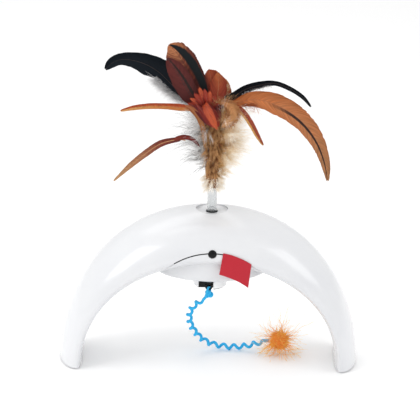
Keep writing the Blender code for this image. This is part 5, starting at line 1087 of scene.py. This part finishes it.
def tufts(count, hairs, angles, heights, lengths, rise, droop, width):
    """Hair in tufts round the tube. The hairs of a tuft share a way and a bend, start a
    millimetre or two apart and draw together at their tips. The lower the tuft, the shorter
    its hair: the length is cut to a third at the foot of the wrap. Sizes are in millimetres."""
    foot, full = 216, 258
    turn = np.radians(DICE.uniform(*angles, count))
    level = DICE.uniform(*heights, count)
    around = np.stack([np.cos(turn), np.sin(turn), np.zeros(count)], -1)
    up = np.array((0.0, 0.0, 1.0))
    fullness = 0.3 + 0.7 * np.clip((level - foot) / (full - foot), 0, 1) ** 1.3
    reach = DICE.uniform(*lengths, count) * fullness * MM
    way = unit(around + up * DICE.uniform(*rise, count)[:, None] + DICE.normal(0, 0.16, (count, 3)))
    bend = -up * DICE.uniform(*droop, count)[:, None] + DICE.normal(0, 0.22, (count, 3))
    shade = DICE.uniform(0, 1, count)

    offset = DICE.normal(0, 1.3 * MM, (count, hairs, 3))
    radius = (6.4 + 4.4 * fullness) * MM
    roots = (around * radius[:, None] + up * level[:, None] * MM)[:, None] + offset
    length = reach[:, None] * DICE.uniform(0.75, 1.12, (count, hairs))
    ways = way[:, None] - 0.75 * offset / length[..., None] + DICE.normal(0, 0.05, (count, hairs, 3))
    shades = np.clip(shade[:, None] * 0.7 + DICE.uniform(0, 0.3, (count, hairs)), 0, 1)
    bends = np.repeat(bend, hairs, 0) + DICE.normal(0, 0.05, (count * hairs, 3))
    return strands(roots.reshape(-1, 3), ways.reshape(-1, 3), length.reshape(-1), bends, width * MM, 6,
                   shades.reshape(-1), 0.3, 0.06)


def make_fur():
    """A strip of mixed fur wound round the tube: pale with dark guard hairs on the left, brown
    down the front, cream on the right. Angles are round the tube: 0 right, -90 the front. Each
    kind has its colours from root to tip, its roughness, its speckle, and its tufts."""
    kinds = (
        ("white_underfur", "0 D8D4D0, 0.5 EAE8E6, 1 F8F7F6", 0.8, 0.18,
         (190, 14, (120, 240), (236, 294), (14, 28), (0.1, 0.7), (0.0, 0.4), 0.32)),
        ("grey_guard_hair", "0 8E8680, 0.45 5A5654, 1 2A2828", 0.7, 0.18,
         (95, 6, (122, 244), (234, 292), (28, 46), (0.1, 0.8), (0.1, 0.7), 0.24)),
        ("brown_fur", "0 583420, 0.35 84502F, 0.7 AC7647, 1 D2A470", 0.8, 0.6,
         (210, 14, (226, 290), (224, 298), (8, 16), (-0.7, 0.3), (0.0, 0.5), 0.34)),
        ("cream_fur", "0 CC9858, 0.4 E6BC7E, 0.75 F5E0BA, 1 FCF6EC", 0.8, 0.35,
         (350, 14, (-64, 60), (224, 298), (20, 37), (0.0, 0.8), (0.0, 0.45), 0.32)),
        ("pale_low_fur", "0 F2DCBC, 0.5 FAF0DE, 1 FFFCF6", 0.8, 0.3,
         (110, 12, (0, 360), (208, 222), (20, 34), (-1.2, 0.1), (0.0, 0.3), 0.32)),
        ("back_fur", "0 8A6242, 0.5 C09A74, 1 E2CDB2", 0.8, 0.3,
         (120, 14, (52, 125), (224, 297), (17, 28), (0.1, 0.9), (0.0, 0.45), 0.32)))
    pieces = []
    for name, stops, roughness, speckle, form in kinds:
        mat = fibre(name, stops, roughness, speckle=speckle)
        pieces.append(show(name, mesh_from(name, *tufts(*form)), mat, 0))
    # The hide under the hair has the last kind's colours
    hide = np.array([(6.4, 209), (8.2, 222), (10.6, 250), (11.4, 275), (10.6, 292)]) * MM
    pieces.append(show("fur_hide", lofted("fur_hide", turned_rings(hide, 40)), mat, 0, turn_out=True))
    for piece in pieces:
        stand_for(piece, "fur_wrap", "wand")


# Materials of the CAD nodes that stay

def dress_frame(finishes):
    """Give each named CAD node its one material."""
    for names, mat in finishes:
        for name in names:
            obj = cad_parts[name]
            obj.data.materials.clear()
            obj.data.materials.append(mat)


# Camera, light and floor

# The length of one pixel of the photograph, and the pixel of the frame's origin
SCALE = 1.152 * MM
PHOTO_SIZE = 420
ORIGIN_PIXEL = (207.8, 357.2)
SENSOR_WIDTH = 36.0
CAMERA_DISTANCE = 6.0
CAMERA_TILT = math.radians(20.0)
CAMERA_YAW = math.radians(2.0)
CAMERA_ROLL = math.radians(1.6)
FLOOR_HALF = 3.0
LAMP_AIM = (0.0, 0.0, 0.15)
# Each soft lamp's place, width in metres and power in watts
LAMPS = {
    "key": ((-1.3, -0.7, 1.2), 1.0, 11.0),
    "fill": ((1.4, -0.6, 1.1), 1.0, 6.5),
    "top": ((-0.2, 0.6, 1.6), 1.4, 6.0),
}


def make_camera():
    """A long lens 20 degrees above level. The aim is the point behind the photograph's centre."""
    level = math.cos(CAMERA_TILT)
    back = Vector((math.sin(-CAMERA_YAW) * level, -math.cos(CAMERA_YAW) * level, math.sin(CAMERA_TILT)))
    right = Vector((math.cos(CAMERA_YAW), -math.sin(CAMERA_YAW), 0))
    up = back.cross(right).normalized()
    right_rolled = right * math.cos(CAMERA_ROLL) + up * math.sin(CAMERA_ROLL)
    up_rolled = up * math.cos(CAMERA_ROLL) - right * math.sin(CAMERA_ROLL)
    dx, dy = PHOTO_SIZE / 2 - ORIGIN_PIXEL[0], ORIGIN_PIXEL[1] - PHOTO_SIZE / 2
    aim = right_rolled * dx * SCALE + up_rolled * dy * SCALE
    data = bpy.data.cameras.new("camera")
    data.sensor_width = SENSOR_WIDTH
    data.lens = SENSOR_WIDTH * CAMERA_DISTANCE / (PHOTO_SIZE * SCALE)
    camera = bpy.data.objects.new("camera", data)
    bpy.context.collection.objects.link(camera)
    turn = Matrix((right_rolled, up_rolled, back)).transposed().to_4x4()
    camera.matrix_world = Matrix.Translation(aim + back * CAMERA_DISTANCE) @ turn
    bpy.context.scene.camera = camera


def make_stage():
    """A pale floor that the camera sees as white, with the toy's own shadow, and soft lamps."""
    corners = np.array([(-1, -1, 0), (1, -1, 0), (1, 1, 0), (-1, 1, 0)]) * FLOOR_HALF
    mat, tree, shader = new_material("floor_white", Roughness=0.6)
    plug(tree, shader, {"Base Color": hex_colour("FFFFFF")})
    show("floor", mesh_from("floor", corners, np.array([[0, 1, 2, 3]])), mat, 0)
    world = bpy.data.worlds.new("studio")
    world.use_nodes = True
    tree = world.node_tree
    path = add_node(tree, "LightPath").outputs
    seen = add_node(tree, "Math", {"operation": "MAXIMUM"},
                    {0: path["Is Camera Ray"], 1: path["Is Transmission Ray"]})
    strength = add_node(tree, "MapRange", inputs={"Value": seen, "To Min": 0.8, "To Max": 1.0})
    plug(tree, tree.nodes["Background"], {"Color": hex_colour("FFFFFF"), "Strength": strength})
    bpy.context.scene.world = world
    for name, (place, size, power) in LAMPS.items():
        data = bpy.data.lights.new(name, "AREA")
        data.size = size
        data.energy = power
        lamp = bpy.data.objects.new(name, data)
        bpy.context.collection.objects.link(lamp)
        lamp.location = place
        lamp.rotation_euler = (Vector(LAMP_AIM) - Vector(place)).to_track_quat("-Z", "Y").to_euler()


def main():
    """The whole scene, in an order that fixes which random draws each piece gets."""
    bpy.context.scene.view_settings.view_transform = "Standard"
    make_camera()
    make_stage()

    white = moulded_abs("white_abs", "DFE0E2", "DBDCDF", 0.24)
    black = moulded_abs("black_abs", "08090B", "040506", 0.25, 0.0, 0.2)
    grey = moulded_abs("grey_abs", "8A8C8E", "7E8082", 0.5)
    nylon = moulded_abs("natural_nylon", "EAE6DA", "E2DDCF", 0.42)
    sleeve = moulded_abs("battery_sleeve", "3A3B40", "2E2F34", 0.35)
    steel = satin_metal("drawn_steel", "C4C5C6", "A9AAAB", 0.3, (1.0, 1.0, 0.05))
    brass = satin_metal("turned_brass", "D9B45B", "C49C45", 0.3, (1.0, 1.0, 0.2))
    rubber = matt_rubber()
    acrylic = clear_acrylic()
    ribbon = woven_ribbon()
    blue = elastic_cord()
    board = circuit_board_finish()
    thread = fibre("brown_thread", "0 4A2A1A, 1 6B4028", 0.65, 0.25)
    yarn = fibre("orange_yarn", "0 FF8E34, 0.3 FFA440, 0.7 FFBA48, 1 FFCE66", 0.75, 0.1)
    yarn_core = fibre("orange_yarn_core", "0 FF963E, 1 FFB060", 0.85, 0.1)

    make_arch(white)
    make_housing(white)
    make_leg_covers(white)
    make_battery_door(white)
    make_seam_strips(black)
    make_sensor(black)
    make_crown_fittings(white, black, acrylic)
    # The hub's white is a brighter copy of the arch's white ABS: painted light on the hub's front face
    make_hub(moulded_abs("hub_white_abs_painted_bright", "FCFCFD", "F8F9FA", 0.3), black)
    make_tag(ribbon)
    cord, path, length = make_cord(blue)
    knot = make_knot(blue)
    pompom = make_pompom(yarn_core, yarn)
    make_feathers()
    make_fur()
    dress_frame([
        (["left_foot_pad", "right_foot_pad"], rubber),
        (["gear_plate", "battery_box", "power_switch"], grey),
        (["switch_knob", "cord_hook"], black),
        (["upper_bush", "lower_bush", "motor_pinion"], brass),
        (["plate_screw_1", "plate_screw_2", "plate_screw_3", "plate_screw_4", "idler_pin", "motor_can",
          "motor_shaft", "main_shaft", "battery_spring_1", "battery_spring_2", "battery_contact_1",
          "battery_contact_2"], steel),
        (["motor_end_cap", "drive_gear", "idler_gear"], nylon),
        (["battery_cell_1", "battery_cell_2"], sleeve),
        (["control_board"], board),
        (["feather_binding"], thread)])


main()
